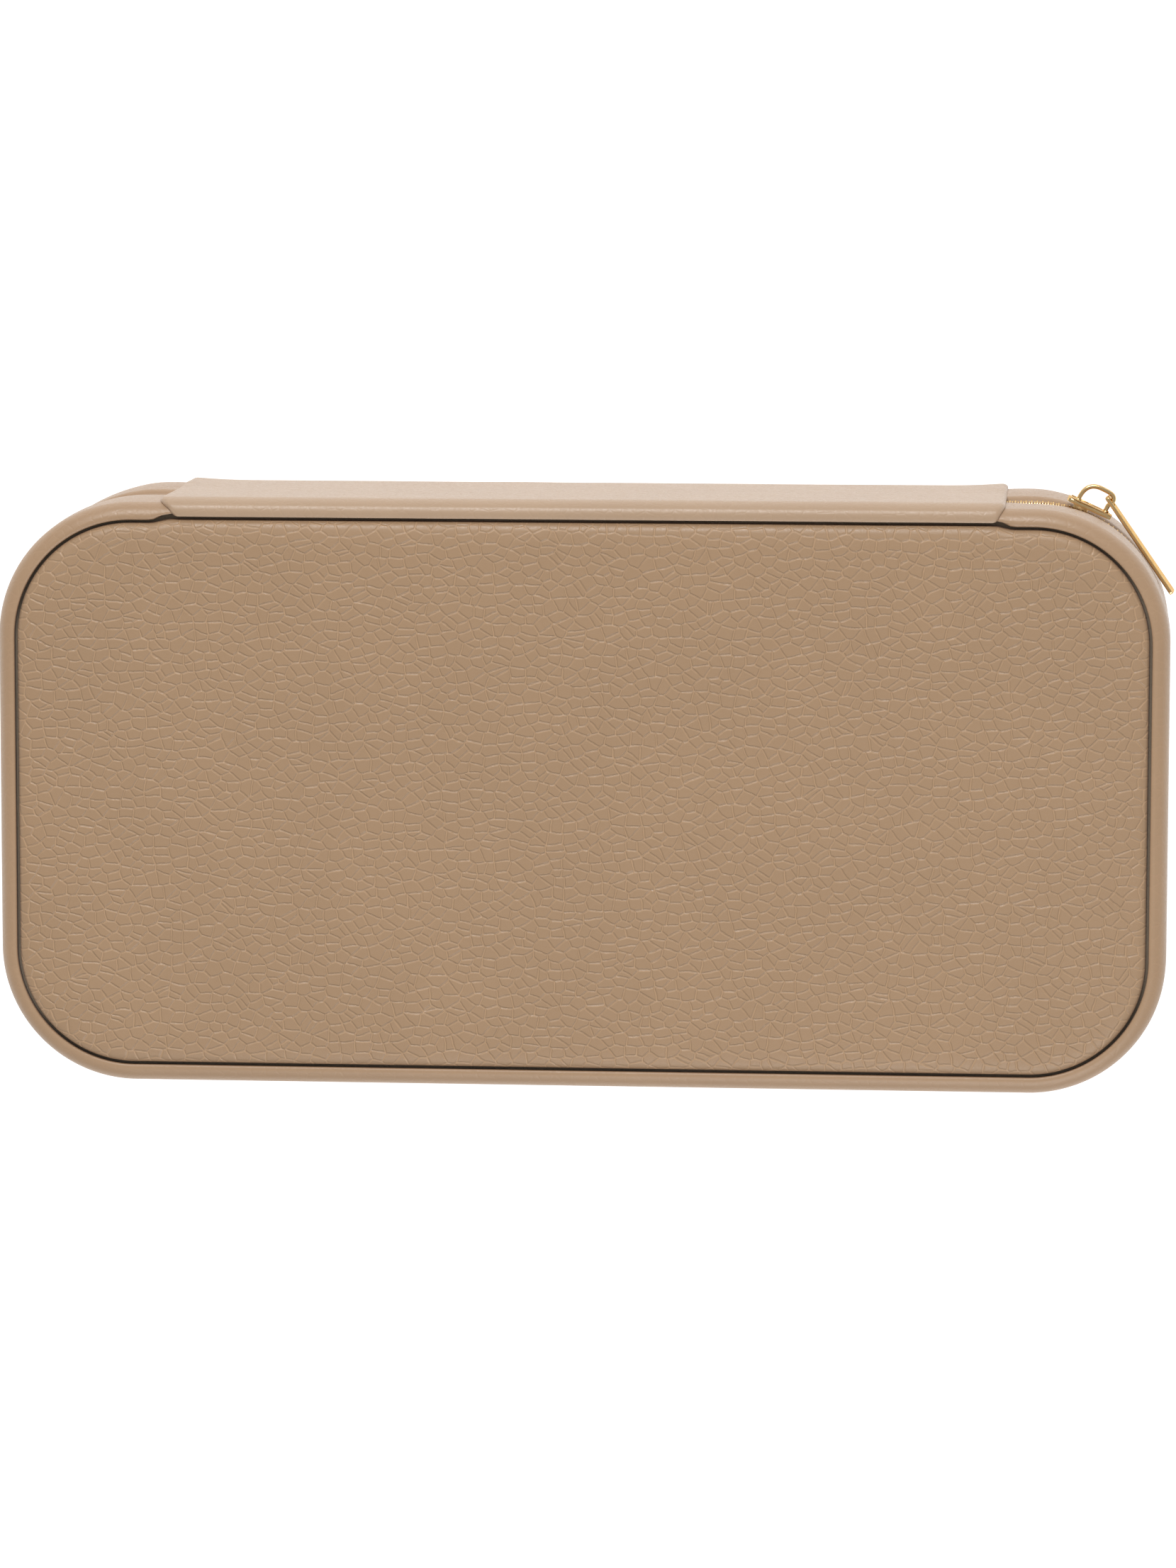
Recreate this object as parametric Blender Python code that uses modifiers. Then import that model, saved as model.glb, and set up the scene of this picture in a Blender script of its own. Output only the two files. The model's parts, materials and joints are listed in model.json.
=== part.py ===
"""A zip-round travel jewellery case in leather: two equal halves joined by a leather spine.

The case lies on its base. +X runs along the spine, +Y points to the spine and +Z is up.
The origin is the centre of the flat underside. The script is written in metres.
"""
import math

import bmesh
import bpy

MM = 0.001

# The case, outside. WIDTH and DEPTH are taken over the side leather, HEIGHT over both padded panels.
WIDTH = 250 * MM
DEPTH = 125 * MM
HEIGHT = 57 * MM
CORNER = 29 * MM             # corner radius of the side leather, seen from above
PARTING = HEIGHT / 2         # height of the plane between the halves
GAP = 3 * MM                 # from the parting plane to the edge of each wall
CLEAR = 0.3 * MM             # left between pieces that touch

# One half, as heights above its own outer face and depths inwards from the side leather.
LEATHER = 1.0 * MM
RIM_BOTTOM = 1.0 * MM        # the rolled rim stands this far back from the panel's face
RIM_RADIUS = 3.7 * MM
LIP_RADIUS = 2.0 * MM        # the leather rolls over the wall's edge at the zip
PANEL_INSET = 4.5 * MM
PANEL_TOP = 3.0 * MM
PANEL_SKIN = 0.9 * MM
PANEL_EDGE = 1.6 * MM
BOARD_INSET = 2.0 * MM
BOARD_LOW = 3.3 * MM
BOARD_HIGH = 4.7 * MM
FRAME_OUT = 1.3 * MM
FRAME_IN = 3.3 * MM
FRAME_LOW = 5.0 * MM
FRAME_HIGH = 23.2 * MM
LINING_INSET = 3.6 * MM
LINING = 0.8 * MM
LINING_LOW = 5.0 * MM
LINING_HIGH = 24.9 * MM
FLOOR = LINING_LOW + LINING

# The spine strip, which lies over the side leather and both rims.
STRIP_HALF = 90 * MM
STRIP_PROUD = 1.2 * MM
STRIP_SPLIT = 0.15 * MM
HINGE_Y = DEPTH / 2 + 1.5 * MM

# The zip, as depths inwards from the side leather and distances from the parting plane.
TAPE_OUT = 2.3 * MM
TAPE_IN = 2.9 * MM
TAPE_EDGE = 0.5 * MM
COIL_OUT = 1.0 * MM
COIL_IN = 2.0 * MM
COIL_EDGE = 0.6 * MM
COIL_BACK = 2.1 * MM
CHAIN_END = 88 * MM          # the chain runs on a little under the strip's ends
TEETH_END = 90 * MM          # the teeth stop here, and the top stop lies under the strip
LID_CHAIN_ANGLE = 50.0       # the lid's half of the chain ends here on the slider's corner

# The slider, about the centre of its corner. u runs outwards, t along the zip towards the strip.
ARC_X = WIDTH / 2 - CORNER
ARC_Y = DEPTH / 2 - CORNER
SLIDER_ANGLE = 66.0
PLATE_LOW = 29.3 * MM
PLATE_HIGH = 30.4 * MM
INNER_LOW = 24.6 * MM
INNER_HIGH = 25.4 * MM
SLIDER_TAIL = -4.6 * MM
SLIDER_NOSE = 5.4 * MM
BAIL_WIRE = 0.5 * MM
PIVOT_T = -2.4 * MM
PIVOT_U = 33.3 * MM
BEND = 1.2 * MM              # radius of the bail's bend, which the pull's eye travels round
PULL_TURN = 211.9            # direction of the pull in the t, u plane, in degrees
PULL_LENGTH = 24.6 * MM
PULL_WIDTH = 5.0 * MM
PULL_THICK = 0.95 * MM

# The inside.
DIVIDER = 2.4 * MM
DIVIDER_TOP = 22 * MM
CROSS_X = 38.5 * MM
INNER_X = WIDTH / 2 - LINING_INSET - LINING
INNER_Y = DEPTH / 2 - LINING_INSET - LINING
ROLLS = 6
ROLL_WIDTH = 9.6 * MM
ROLL_PITCH = 10.2 * MM
ROLL_HEIGHT = 14 * MM
DIVIDER_Y = 5.1 * MM         # the centre and left cells' divider; the right cells have two
RIGHT_FRONT_Y = -18 * MM
RIGHT_REAR_Y = 20 * MM
DIVIDER_EDGE = 0.4 * MM
CEILING = HEIGHT - FLOOR - CLEAR
HOOKS = 5
HOOK_PITCH = 38 * MM
HOOK_Y = -44 * MM
HOOK_WIRE = 0.7 * MM
HOOK_BEND = 2.2 * MM
HOOK_DROP = 4.5 * MM
HOOK_BAR_HALF = 90 * MM
HOOK_BAR_THICK = 2.2 * MM
HOOK_BAR_REACH = 6 * MM
POCKET_HALF = 95 * MM
POCKET_MOUTH = 6 * MM
POCKET_BACK = 55.5 * MM
POCKET_DEEP = 7 * MM
POCKET_CLOTH = 0.8 * MM
ELASTIC_THICK = 1.4 * MM
ELASTIC_WIDE = 3.5 * MM

# The strip of lining that covers the joint of the two halves on the inside.
SPINE_LINING_HALF = 86 * MM
SPINE_LINING_OUT = 3.4 * MM
SPINE_LINING_IN = 4.2 * MM

# The metal stops at the two ends of the teeth.
STOP_REACH = 2.3 * MM        # up and down from the parting plane
STOP_LONG = 1.5 * MM
STOP_OUT = 0.6 * MM
STOP_IN = 2.0 * MM
STOP_EDGE = 0.3 * MM

ARC_STEPS = 7


def new_collection(name):
    collection = bpy.data.collections.new(name)
    bpy.context.scene.collection.children.link(collection)
    return collection


def material(name, colour, roughness, metallic=0.0):
    made = bpy.data.materials.new(name)
    made.use_nodes = True
    shader = made.node_tree.nodes["Principled BSDF"]
    shader.inputs["Base Color"].default_value = (*colour, 1.0)
    shader.inputs["Roughness"].default_value = roughness
    shader.inputs["Metallic"].default_value = metallic
    made.diffuse_color = (*colour, 1.0)
    return made


def finish(obj, look, smooth_angle=35.0):
    """Puts an object in the case's collection with a material of its own."""
    for collection in list(obj.users_collection):
        collection.objects.unlink(obj)
    CASE.objects.link(obj)
    obj.data.materials.clear()
    obj.data.materials.append(material(obj.name, *look))
    if obj.type == "MESH":
        obj.data.shade_smooth()
        obj.data.set_sharp_from_angle(angle=math.radians(smooth_angle))
    return obj


def as_guide(obj):
    for collection in list(obj.users_collection):
        collection.objects.unlink(obj)
    GUIDES.objects.link(obj)
    obj.hide_render = True
    obj.display_type = "WIRE"
    return obj


def height(z, lid):
    """A height in one half: the lid is the base turned over."""
    return HEIGHT - z if lid else z


def rounded_outline(inset, steps=ARC_STEPS):
    """The case's outline from above at a depth inside the side leather, anticlockwise."""
    radius = CORNER - inset
    points = []
    for quarter, (sx, sy) in enumerate(((1, 1), (-1, 1), (-1, -1), (1, -1))):
        for step in range(steps + 1):
            angle = math.radians(90 * (quarter + step / steps))
            points.append((sx * ARC_X + radius * math.cos(angle), sy * ARC_Y + radius * math.sin(angle)))
    return points


def chain_path(end_angle=90.0, end_x=CHAIN_END):
    """The line of the zip on the side leather, anticlockwise from the left end of the strip."""
    points = [(-CHAIN_END, DEPTH / 2)]
    for quarter, (sx, sy) in ((1, (-1, 1)), (2, (-1, -1)), (3, (1, -1))):
        points += corner_arc(sx * ARC_X, sy * ARC_Y, 90 * quarter, 90 * quarter + 90)
    points += corner_arc(ARC_X, ARC_Y, 0, end_angle)
    if end_angle == 90.0:
        points.append((end_x, DEPTH / 2))
    return points


def corner_arc(x, y, start, end, steps=ARC_STEPS):
    angles = [math.radians(start + (end - start) * step / steps) for step in range(steps + 1)]
    return [(x + CORNER * math.cos(angle), y + CORNER * math.sin(angle)) for angle in angles]


def poly_curve(name, points, closed, flat=False):
    data = bpy.data.curves.new(name, "CURVE")
    data.dimensions = "2D" if flat else "3D"
    data.twist_mode = "Z_UP"
    spline = data.splines.new("POLY")
    spline.points.add(len(points) - 1)
    for point, place in zip(spline.points, points):
        point.co = (*place, 0.0, 1.0) if len(place) == 2 else (*place, 1.0)
    spline.use_cyclic_u = closed
    obj = bpy.data.objects.new(name, data)
    bpy.context.scene.collection.objects.link(obj)
    return obj


def sweep(name, section, path, closed, look):
    """A section of (distance outwards, height) points, clockwise, carried along a level path."""
    guide = as_guide(poly_curve(name + "_section", section, True, flat=True))
    obj = poly_curve(name, path, closed)
    obj.data.bevel_mode = "OBJECT"
    obj.data.bevel_object = guide
    obj.data.use_fill_caps = True
    return finish(obj, look)


def half_section(points, lid):
    """Turns a base section over for the lid and keeps it clockwise."""
    turned = [(x, height(z, lid)) for x, z in points]
    return turned[::-1] if lid else turned


def rectangle(outer, inner, low, high):
    """A clockwise rectangle between two depths and two heights."""
    return [(-outer, high), (-outer, low), (-inner, low), (-inner, high)]


def arc_points(x, z, radius_x, radius_z, start, end, steps):
    angles = [math.radians(start + (end - start) * step / steps) for step in range(steps + 1)]
    return [(x + radius_x * math.cos(angle), z + radius_z * math.sin(angle)) for angle in angles]


def plate(name, outline, low, high, look, holes=()):
    """A level plate with a flat outline."""
    obj = poly_curve(name, outline, True, flat=True)
    for hole in holes:
        spline = obj.data.splines.new("POLY")
        spline.points.add(len(hole) - 1)
        for point, place in zip(spline.points, hole):
            point.co = (*place, 0.0, 1.0)
        spline.use_cyclic_u = True
    obj.data.fill_mode = "BOTH"
    obj.data.extrude = abs(high - low) / 2
    obj.location.z = (low + high) / 2
    return finish(obj, look)


def box(name, low, high, look, edge=0.0):
    bpy.ops.mesh.primitive_cube_add(size=1)
    obj = bpy.context.object
    obj.name = name
    obj.data.name = name
    for vertex in obj.data.vertices:
        for axis in range(3):
            vertex.co[axis] = low[axis] if vertex.co[axis] < 0 else high[axis]
    if edge:
        bevel = obj.modifiers.new("edges", "BEVEL")
        bevel.width = edge
        bevel.segments = 1
    return finish(obj, look)


def tray(name, outline, floor_z, edge_z, thickness, look, edge_radius=0.0):
    """An open tray: a floor and its wall as one surface, thickened inwards."""
    mesh = bpy.data.meshes.new(name)
    shape = bmesh.new()
    floor = [shape.verts.new((x, y, floor_z)) for x, y in outline]
    edge = [shape.verts.new((x, y, edge_z)) for x, y in outline]
    shape.faces.new(floor)
    for i, corner in enumerate(floor):
        after = (i + 1) % len(floor)
        shape.faces.new((corner, floor[after], edge[after], edge[i]))
    bmesh.ops.recalc_face_normals(shape, faces=shape.faces)
    lowest = min(shape.faces, key=lambda face: abs(face.calc_center_median().z - floor_z))
    if lowest.normal.z * (edge_z - floor_z) > 0:
        bmesh.ops.reverse_faces(shape, faces=shape.faces)
    shape.to_mesh(mesh)
    shape.free()
    obj = bpy.data.objects.new(name, mesh)
    bpy.context.scene.collection.objects.link(obj)
    if edge_radius:
        bevel = obj.modifiers.new("rounded edge", "BEVEL")
        bevel.width = edge_radius
        bevel.segments = 2
        bevel.limit_method = "ANGLE"
        bevel.angle_limit = math.radians(40)
    shell = obj.modifiers.new("thickness", "SOLIDIFY")
    shell.thickness = thickness
    shell.offset = -1
    shell.use_even_offset = True
    return finish(obj, look)


def wire(name, points, radius, look):
    obj = poly_curve(name, points, False)
    obj.data.twist_mode = "MINIMUM"
    obj.data.bevel_depth = radius
    obj.data.bevel_resolution = 1
    obj.data.use_fill_caps = True
    return finish(obj, look)


def make_mesh(obj):
    """Turns a curve object into a mesh object in the same place, with welded caps."""
    graph = bpy.context.evaluated_depsgraph_get()
    mesh = bpy.data.meshes.new_from_object(obj.evaluated_get(graph))
    shape = bmesh.new()
    shape.from_mesh(mesh)
    bmesh.ops.remove_doubles(shape, verts=shape.verts, dist=0.00001)
    shape.to_mesh(mesh)
    shape.free()
    name = obj.name
    place = obj.matrix_world.copy()
    bpy.data.objects.remove(obj)
    solid = bpy.data.objects.new(name, mesh)
    solid.data.name = name
    bpy.context.scene.collection.objects.link(solid)
    solid.matrix_world = place
    return solid


def join(base, others):
    """Unites cutters with an object by exact Boolean modifiers."""
    for other in others:
        union = base.modifiers.new("join " + other.name, "BOOLEAN")
        union.operation = "UNION"
        union.solver = "EXACT"
        union.object = as_guide(other)
    return base


# --------------------------------------------------------------------------- one half of the case

def side_leather(name, lid):
    """The wrap round the wall: rolled over the edge at the zip and round the rim into the groove."""
    lip_z = PARTING - GAP - LIP_RADIUS
    rim_z = RIM_BOTTOM + RIM_RADIUS
    inner_rim = RIM_RADIUS - LEATHER
    outer = arc_points(-LIP_RADIUS, lip_z, LIP_RADIUS, LIP_RADIUS, 90, 0, 3)
    outer += arc_points(-RIM_RADIUS, rim_z, RIM_RADIUS, RIM_RADIUS, 0, -90, 4)
    inner = arc_points(-RIM_RADIUS, rim_z, inner_rim, inner_rim, -90, 0, 3)
    inner += arc_points(-LIP_RADIUS, lip_z, LIP_RADIUS - LEATHER, LIP_RADIUS - LEATHER, 0, 90, 2)
    return sweep(name, half_section(outer + inner, lid), rounded_outline(0), True, LEATHER_LOOK)


def half_case(word, lid):
    """The six pieces that each half is built from, named after the half."""
    side_leather(word + "_side_leather", lid)
    frame = half_section(rectangle(FRAME_IN, FRAME_OUT, FRAME_HIGH, FRAME_LOW), lid)
    sweep(word + "_frame", frame, rounded_outline(0), True, BOARD_LOOK)
    plate(word + "_board", rounded_outline(BOARD_INSET), height(BOARD_LOW, lid), height(BOARD_HIGH, lid),
          BOARD_LOOK)
    foam_inset = PANEL_INSET + PANEL_SKIN + CLEAR + 0.4 * MM
    plate(word + "_foam", rounded_outline(foam_inset), height(PANEL_SKIN + CLEAR, lid),
          height(PANEL_TOP, lid), FOAM_LOOK)
    tray(word + "_panel", rounded_outline(PANEL_INSET), height(0, lid), height(PANEL_TOP, lid),
         PANEL_SKIN, LEATHER_LOOK, PANEL_EDGE)
    tray(word + "_lining", rounded_outline(LINING_INSET), height(LINING_LOW, lid),
         height(LINING_HIGH, lid), LINING, VELVET_LOOK)


def hinge_strip(name, lid):
    """Half of the spine strip: down the wall, round the rim and to the edge of the groove."""
    wall = DEPTH / 2 + CLEAR
    rim_y = DEPTH / 2 - RIM_RADIUS
    rim_z = RIM_BOTTOM + RIM_RADIUS
    outer_y = RIM_RADIUS + STRIP_PROUD
    outer_z = rim_z - 0.2 * MM
    inside = RIM_RADIUS + CLEAR
    top = PARTING - STRIP_SPLIT
    section = [(wall, top), (DEPTH / 2 + STRIP_PROUD, top)]
    section += arc_points(rim_y, rim_z, outer_y, outer_z, 0, -90, 5)
    section += arc_points(rim_y, rim_z, inside, inside, -90, 0, 4)
    section = half_section(section, lid)
    if lid:
        section.reverse()
    obj = poly_curve(name, section, True, flat=True)
    obj.data.fill_mode = "BOTH"
    obj.data.extrude = STRIP_HALF
    obj.rotation_euler = (math.radians(90), 0, math.radians(90))
    return finish(obj, STRIP_LOOK)


# --------------------------------------------------------------------------------------- the zip

def chain_section(outer, inner, near, far, lid):
    """A clockwise rectangle beside the parting plane, between two distances from it."""
    return half_section(rectangle(inner, outer, PARTING - near, PARTING - far), lid)


def zip_chain():
    tape_foot = PARTING - FRAME_HIGH - CLEAR
    slider_end = chain_path(LID_CHAIN_ANGLE)
    for word, lid, path in (("base", False, chain_path()), ("lid", True, slider_end)):
        tape = chain_section(TAPE_OUT, TAPE_IN, TAPE_EDGE, tape_foot, lid)
        sweep("zip_tape_" + word, tape, path, False, TAPE_LOOK)
    for word, lid, path in (("base", False, chain_path(end_x=TEETH_END)), ("lid", True, slider_end)):
        coil = chain_section(COIL_OUT, COIL_IN, COIL_EDGE, COIL_BACK, lid)
        sweep("zip_coil_" + word, coil, path, False, GOLD_LOOK)
    # Beyond the slider the lid's tape and teeth lie in the base's half of the joint.
    open_start = LID_CHAIN_ANGLE + 1.5
    tape = chain_section(TAPE_OUT, TAPE_IN, TAPE_EDGE, GAP - TAPE_EDGE, True)
    open_path = corner_arc(ARC_X, ARC_Y, open_start, 90)
    sweep("zip_end_tape", tape, open_path + [(CHAIN_END, DEPTH / 2)], False, TAPE_LOOK)
    coil = chain_section(COIL_OUT, COIL_IN, COIL_EDGE, COIL_BACK, True)
    sweep("zip_end_coil", coil, open_path + [(TEETH_END, DEPTH / 2)], False, GOLD_LOOK)
    stop_x = TEETH_END - CLEAR
    box("zip_top_stop", (stop_x - STOP_LONG, DEPTH / 2 - STOP_IN, PARTING - STOP_REACH),
        (stop_x, DEPTH / 2 - STOP_OUT, PARTING + STOP_REACH), GOLD_LOOK, STOP_EDGE)
    stop_x = -CHAIN_END + CLEAR
    box("zip_bottom_stop", (stop_x, DEPTH / 2 - STOP_IN, PARTING - STOP_REACH),
        (stop_x + STOP_LONG, DEPTH / 2 - STOP_OUT, PARTING - TAPE_EDGE), GOLD_LOOK, STOP_EDGE)


def at_slider(t, u):
    """The place on the case, from above, of a point in the slider's own t, u plane."""
    angle = math.radians(SLIDER_ANGLE)
    x = ARC_X - t * math.sin(angle) + u * math.cos(angle)
    y = ARC_Y + t * math.cos(angle) + u * math.sin(angle)
    return x, y


def turn_to_slider(obj, t, u):
    """Stands a plate, drawn with x along t and y along z, up at the slider."""
    x, y = at_slider(t, u)
    obj.location = (x, y, PARTING)
    obj.rotation_euler = (math.radians(90), 0, math.radians(SLIDER_ANGLE + 90))


def slider_plate(name, outline, low, high):
    obj = plate(name, outline, low, high, GOLD_LOOK)
    turn_to_slider(obj, 0, (low + high) / 2)
    bpy.context.view_layer.update()
    return make_mesh(obj)


def slider():
    """The slider: an outer and an inner plate, joined by a thin post between the teeth."""
    nose, tail = SLIDER_NOSE, SLIDER_TAIL
    outer = [(tail, -2.4 * MM), (tail + 1.0 * MM, -3.1 * MM), (0.5 * MM, -3.1 * MM),
             (3.4 * MM, -3.8 * MM), (nose - 0.5 * MM, -3.8 * MM), (nose, -3.2 * MM)]
    outer += [(x, -y) for x, y in reversed(outer)]
    inner = [(tail, -2.0 * MM), (-3.6 * MM, -2.4 * MM), (3.8 * MM, -2.5 * MM), (4.4 * MM, -2.0 * MM)]
    inner += [(x, -y) for x, y in reversed(inner)]
    body = slider_plate("slider_body", outer, PLATE_LOW, PLATE_HIGH)
    inside = slider_plate("slider_inner_plate", inner, INNER_LOW, INNER_HIGH)
    post_half = 0.25 * MM
    post = [(0.8 * MM, -post_half), (3.6 * MM, -post_half), (3.6 * MM, post_half), (0.8 * MM, post_half)]
    web = slider_plate("slider_post", post, INNER_HIGH - 0.3 * MM, PLATE_LOW + 0.3 * MM)
    join(finish(body, GOLD_LOOK), [inside, web])


def bail():
    """The D-shaped bridge over the slider. Its tail end bends round the pull's pivot."""
    lowest = PLATE_HIGH + CLEAR
    bend = arc_points(PIVOT_T, PIVOT_U, BEND, BEND, 90, 240, 8)
    line = [(3.2 * MM, lowest), (3.1 * MM, 32.4 * MM), (2.6 * MM, 33.6 * MM), (1.6 * MM, 34.4 * MM),
            (0.4 * MM, 34.7 * MM), (-1.0 * MM, 34.65 * MM)]
    line += bend + [(bend[-1][0], lowest)]
    route = [(*at_slider(t, u), PARTING) for t, u in line]
    wire("slider_bail", route, BAIL_WIRE, GOLD_LOOK)


def pull():
    """The flat pull, with a slot at its head that rides round the bail. Its origin is its pivot."""
    half = PULL_WIDTH / 2
    head = -0.5 * MM
    end = PULL_LENGTH
    outline = [(head, -1.5 * MM), (0.6 * MM, -half), (end - 0.6 * MM, -half), (end, -half + 0.6 * MM),
               (end, half - 0.6 * MM), (end - 0.6 * MM, half), (0.6 * MM, half), (head, 1.5 * MM)]
    slot_near = BEND - 0.85 * MM
    slot_far = BEND + 0.85 * MM
    slot_half = 1.1 * MM
    slot = [(slot_near, -slot_half), (slot_near, slot_half), (slot_far, slot_half), (slot_far, -slot_half)]
    obj = plate("zip_pull", outline, -PULL_THICK / 2, PULL_THICK / 2, GOLD_LOOK, [slot])
    turn = math.radians(PULL_TURN)
    along_t, along_u = math.cos(turn), math.sin(turn)
    start = at_slider(0, 0)
    ahead = at_slider(along_t, along_u)
    direction = math.atan2(ahead[1] - start[1], ahead[0] - start[0])
    obj.location = (*at_slider(PIVOT_T, PIVOT_U), PARTING)
    obj.rotation_euler = (math.radians(90), 0, direction)


# ------------------------------------------------------------------------------------ the inside

def dividers():
    low = FLOOR + CLEAR
    across = INNER_Y - 0.5 * MM
    for word, sign in (("left", -1), ("right", 1)):
        x = sign * CROSS_X
        box(f"divider_{word}_cross", (x - DIVIDER / 2, -across, low), (x + DIVIDER / 2, across, DIVIDER_TOP),
            VELVET_LOOK, DIVIDER_EDGE)
    inner = CROSS_X - DIVIDER / 2 - CLEAR
    outer = CROSS_X + DIVIDER / 2 + CLEAR
    wall = INNER_X - 0.5 * MM
    for name, x_low, x_high, y in (("centre", -inner, inner, DIVIDER_Y), ("left", -wall, -outer, DIVIDER_Y),
                                   ("right_front", outer, wall, RIGHT_FRONT_Y),
                                   ("right_rear", outer, wall, RIGHT_REAR_Y)):
        box("divider_" + name, (x_low, y - DIVIDER / 2, low), (x_high, y + DIVIDER / 2, DIVIDER_TOP - 1 * MM),
            VELVET_LOOK, DIVIDER_EDGE)


def ring_rolls():
    """Soft bars with round tops, side by side between the two cross dividers."""
    half = ROLL_WIDTH / 2
    shoulder = ROLL_HEIGHT - half
    section = [(-half, 0), (half, 0)] + arc_points(0, shoulder, half, half, 0, 180, 8)
    length = 2 * (CROSS_X - DIVIDER / 2 - 2 * CLEAR)
    first = -INNER_Y + 0.8 * MM + half
    for number in range(ROLLS):
        roll = poly_curve(f"ring_roll_{number + 1}", section, True, flat=True)
        roll.data.fill_mode = "BOTH"
        roll.data.extrude = length / 2
        roll.rotation_euler = (math.radians(90), 0, math.radians(90))
        roll.location = (0, first + number * ROLL_PITCH, FLOOR + CLEAR)
        finish(roll, VELVET_LOOK)


def hook_bar():
    """The bar under the lid's lining, with a row of bent hooks for necklaces."""
    bar_low = CEILING - HOOK_BAR_THICK
    box("hook_bar", (-HOOK_BAR_HALF, HOOK_Y - HOOK_BAR_REACH, bar_low),
        (HOOK_BAR_HALF, HOOK_Y + HOOK_BAR_REACH, CEILING), LEATHER_LOOK, 0.6 * MM)
    drop = bar_low - CLEAR
    bend = arc_points(HOOK_Y - HOOK_BEND, drop - HOOK_DROP, HOOK_BEND, HOOK_BEND, 0, -200, 8)
    for number in range(HOOKS):
        x = (number - (HOOKS - 1) / 2) * HOOK_PITCH
        line = [(x, HOOK_Y, drop)] + [(x, y, z) for y, z in bend]
        wire(f"necklace_hook_{number + 1}", line, HOOK_WIRE, GOLD_LOOK)


def pocket():
    """The pocket under the lid's lining: a front and three sides, open towards the opening edge."""
    front = CEILING - POCKET_DEEP
    mesh = bpy.data.meshes.new("lid_pocket")
    shape = bmesh.new()
    corners = ((-POCKET_HALF, POCKET_MOUTH), (-POCKET_HALF, POCKET_BACK), (POCKET_HALF, POCKET_BACK),
               (POCKET_HALF, POCKET_MOUTH))
    below = [shape.verts.new((x, y, front)) for x, y in corners]
    above = [shape.verts.new((x, y, CEILING)) for x, y in corners]
    shape.faces.new(below)
    for i in range(3):
        shape.faces.new((below[i + 1], below[i], above[i], above[i + 1]))
    shape.to_mesh(mesh)
    shape.free()
    cloth = bpy.data.objects.new("lid_pocket", mesh)
    bpy.context.scene.collection.objects.link(cloth)
    shell = cloth.modifiers.new("thickness", "SOLIDIFY")
    shell.thickness = POCKET_CLOTH
    shell.offset = -1
    finish(cloth, VELVET_LOOK)
    band_y = POCKET_MOUTH - CLEAR
    box("pocket_elastic", (-POCKET_HALF, band_y - ELASTIC_THICK, front),
        (POCKET_HALF, band_y, front + ELASTIC_WIDE), VELVET_LOOK, DIVIDER_EDGE)


def spine_lining():
    low = LINING_HIGH + CLEAR
    box("hinge_lining", (-SPINE_LINING_HALF, DEPTH / 2 - SPINE_LINING_IN, low),
        (SPINE_LINING_HALF, DEPTH / 2 - SPINE_LINING_OUT, PARTING - STRIP_SPLIT), VELVET_LOOK, STRIP_SPLIT)


def hang(name, place, pieces):
    """Parents the pieces of one moving body to an empty on its joint's axis, where they stand."""
    axis = bpy.data.objects.new(name, None)
    axis.location = place
    CASE.objects.link(axis)
    bpy.context.view_layer.update()
    for piece in pieces:
        piece.parent = axis
        piece.matrix_parent_inverse = axis.matrix_world.inverted()


def moving_bodies():
    """The lid turns on the hinge, the slider round its corner, and the pull on the slider's bail."""
    lid_words = ("lid_", "hook_bar", "necklace_hook", "pocket_elastic")
    lid_ends = ("_lid", "_lid_section")
    objects = list(bpy.data.objects)
    lid = [obj for obj in objects if obj.name.startswith(lid_words) or obj.name.endswith(lid_ends)]
    hang("lid_axis", (0, HINGE_Y, PARTING), lid)
    hang("slider_axis", (ARC_X, ARC_Y, PARTING), [obj for obj in objects if obj.name.startswith("slider_")])
    hang("pull_axis", (*at_slider(PIVOT_T, PIVOT_U), PARTING), [bpy.data.objects["zip_pull"]])


for old in list(bpy.data.objects):
    bpy.data.objects.remove(old)

CASE = new_collection("leather_jewellery_case")
GUIDES = new_collection("guides")

LEATHER_LOOK = ((0.402, 0.262, 0.162), 0.55)
STRIP_LOOK = ((0.43, 0.30, 0.20), 0.5)
BOARD_LOOK = ((0.35, 0.27, 0.19), 0.9)
FOAM_LOOK = ((0.80, 0.76, 0.66), 0.95)
VELVET_LOOK = ((0.55, 0.42, 0.31), 0.9)
TAPE_LOOK = ((0.33, 0.21, 0.13), 0.8)
GOLD_LOOK = ((0.83, 0.62, 0.36), 0.25, 1.0)

half_case("base", False)
half_case("lid", True)
hinge_strip("hinge_strip_base", False)
hinge_strip("hinge_strip_lid", True)
spine_lining()
zip_chain()
slider()
bail()
pull()
dividers()
ring_rolls()
hook_bar()
pocket()
moving_bodies()
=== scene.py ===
"""Looks of the zip-round leather jewellery case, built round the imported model."""
import json
import math

import bmesh
import bpy
import numpy as np
from mathutils import Matrix, Vector, noise


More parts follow.
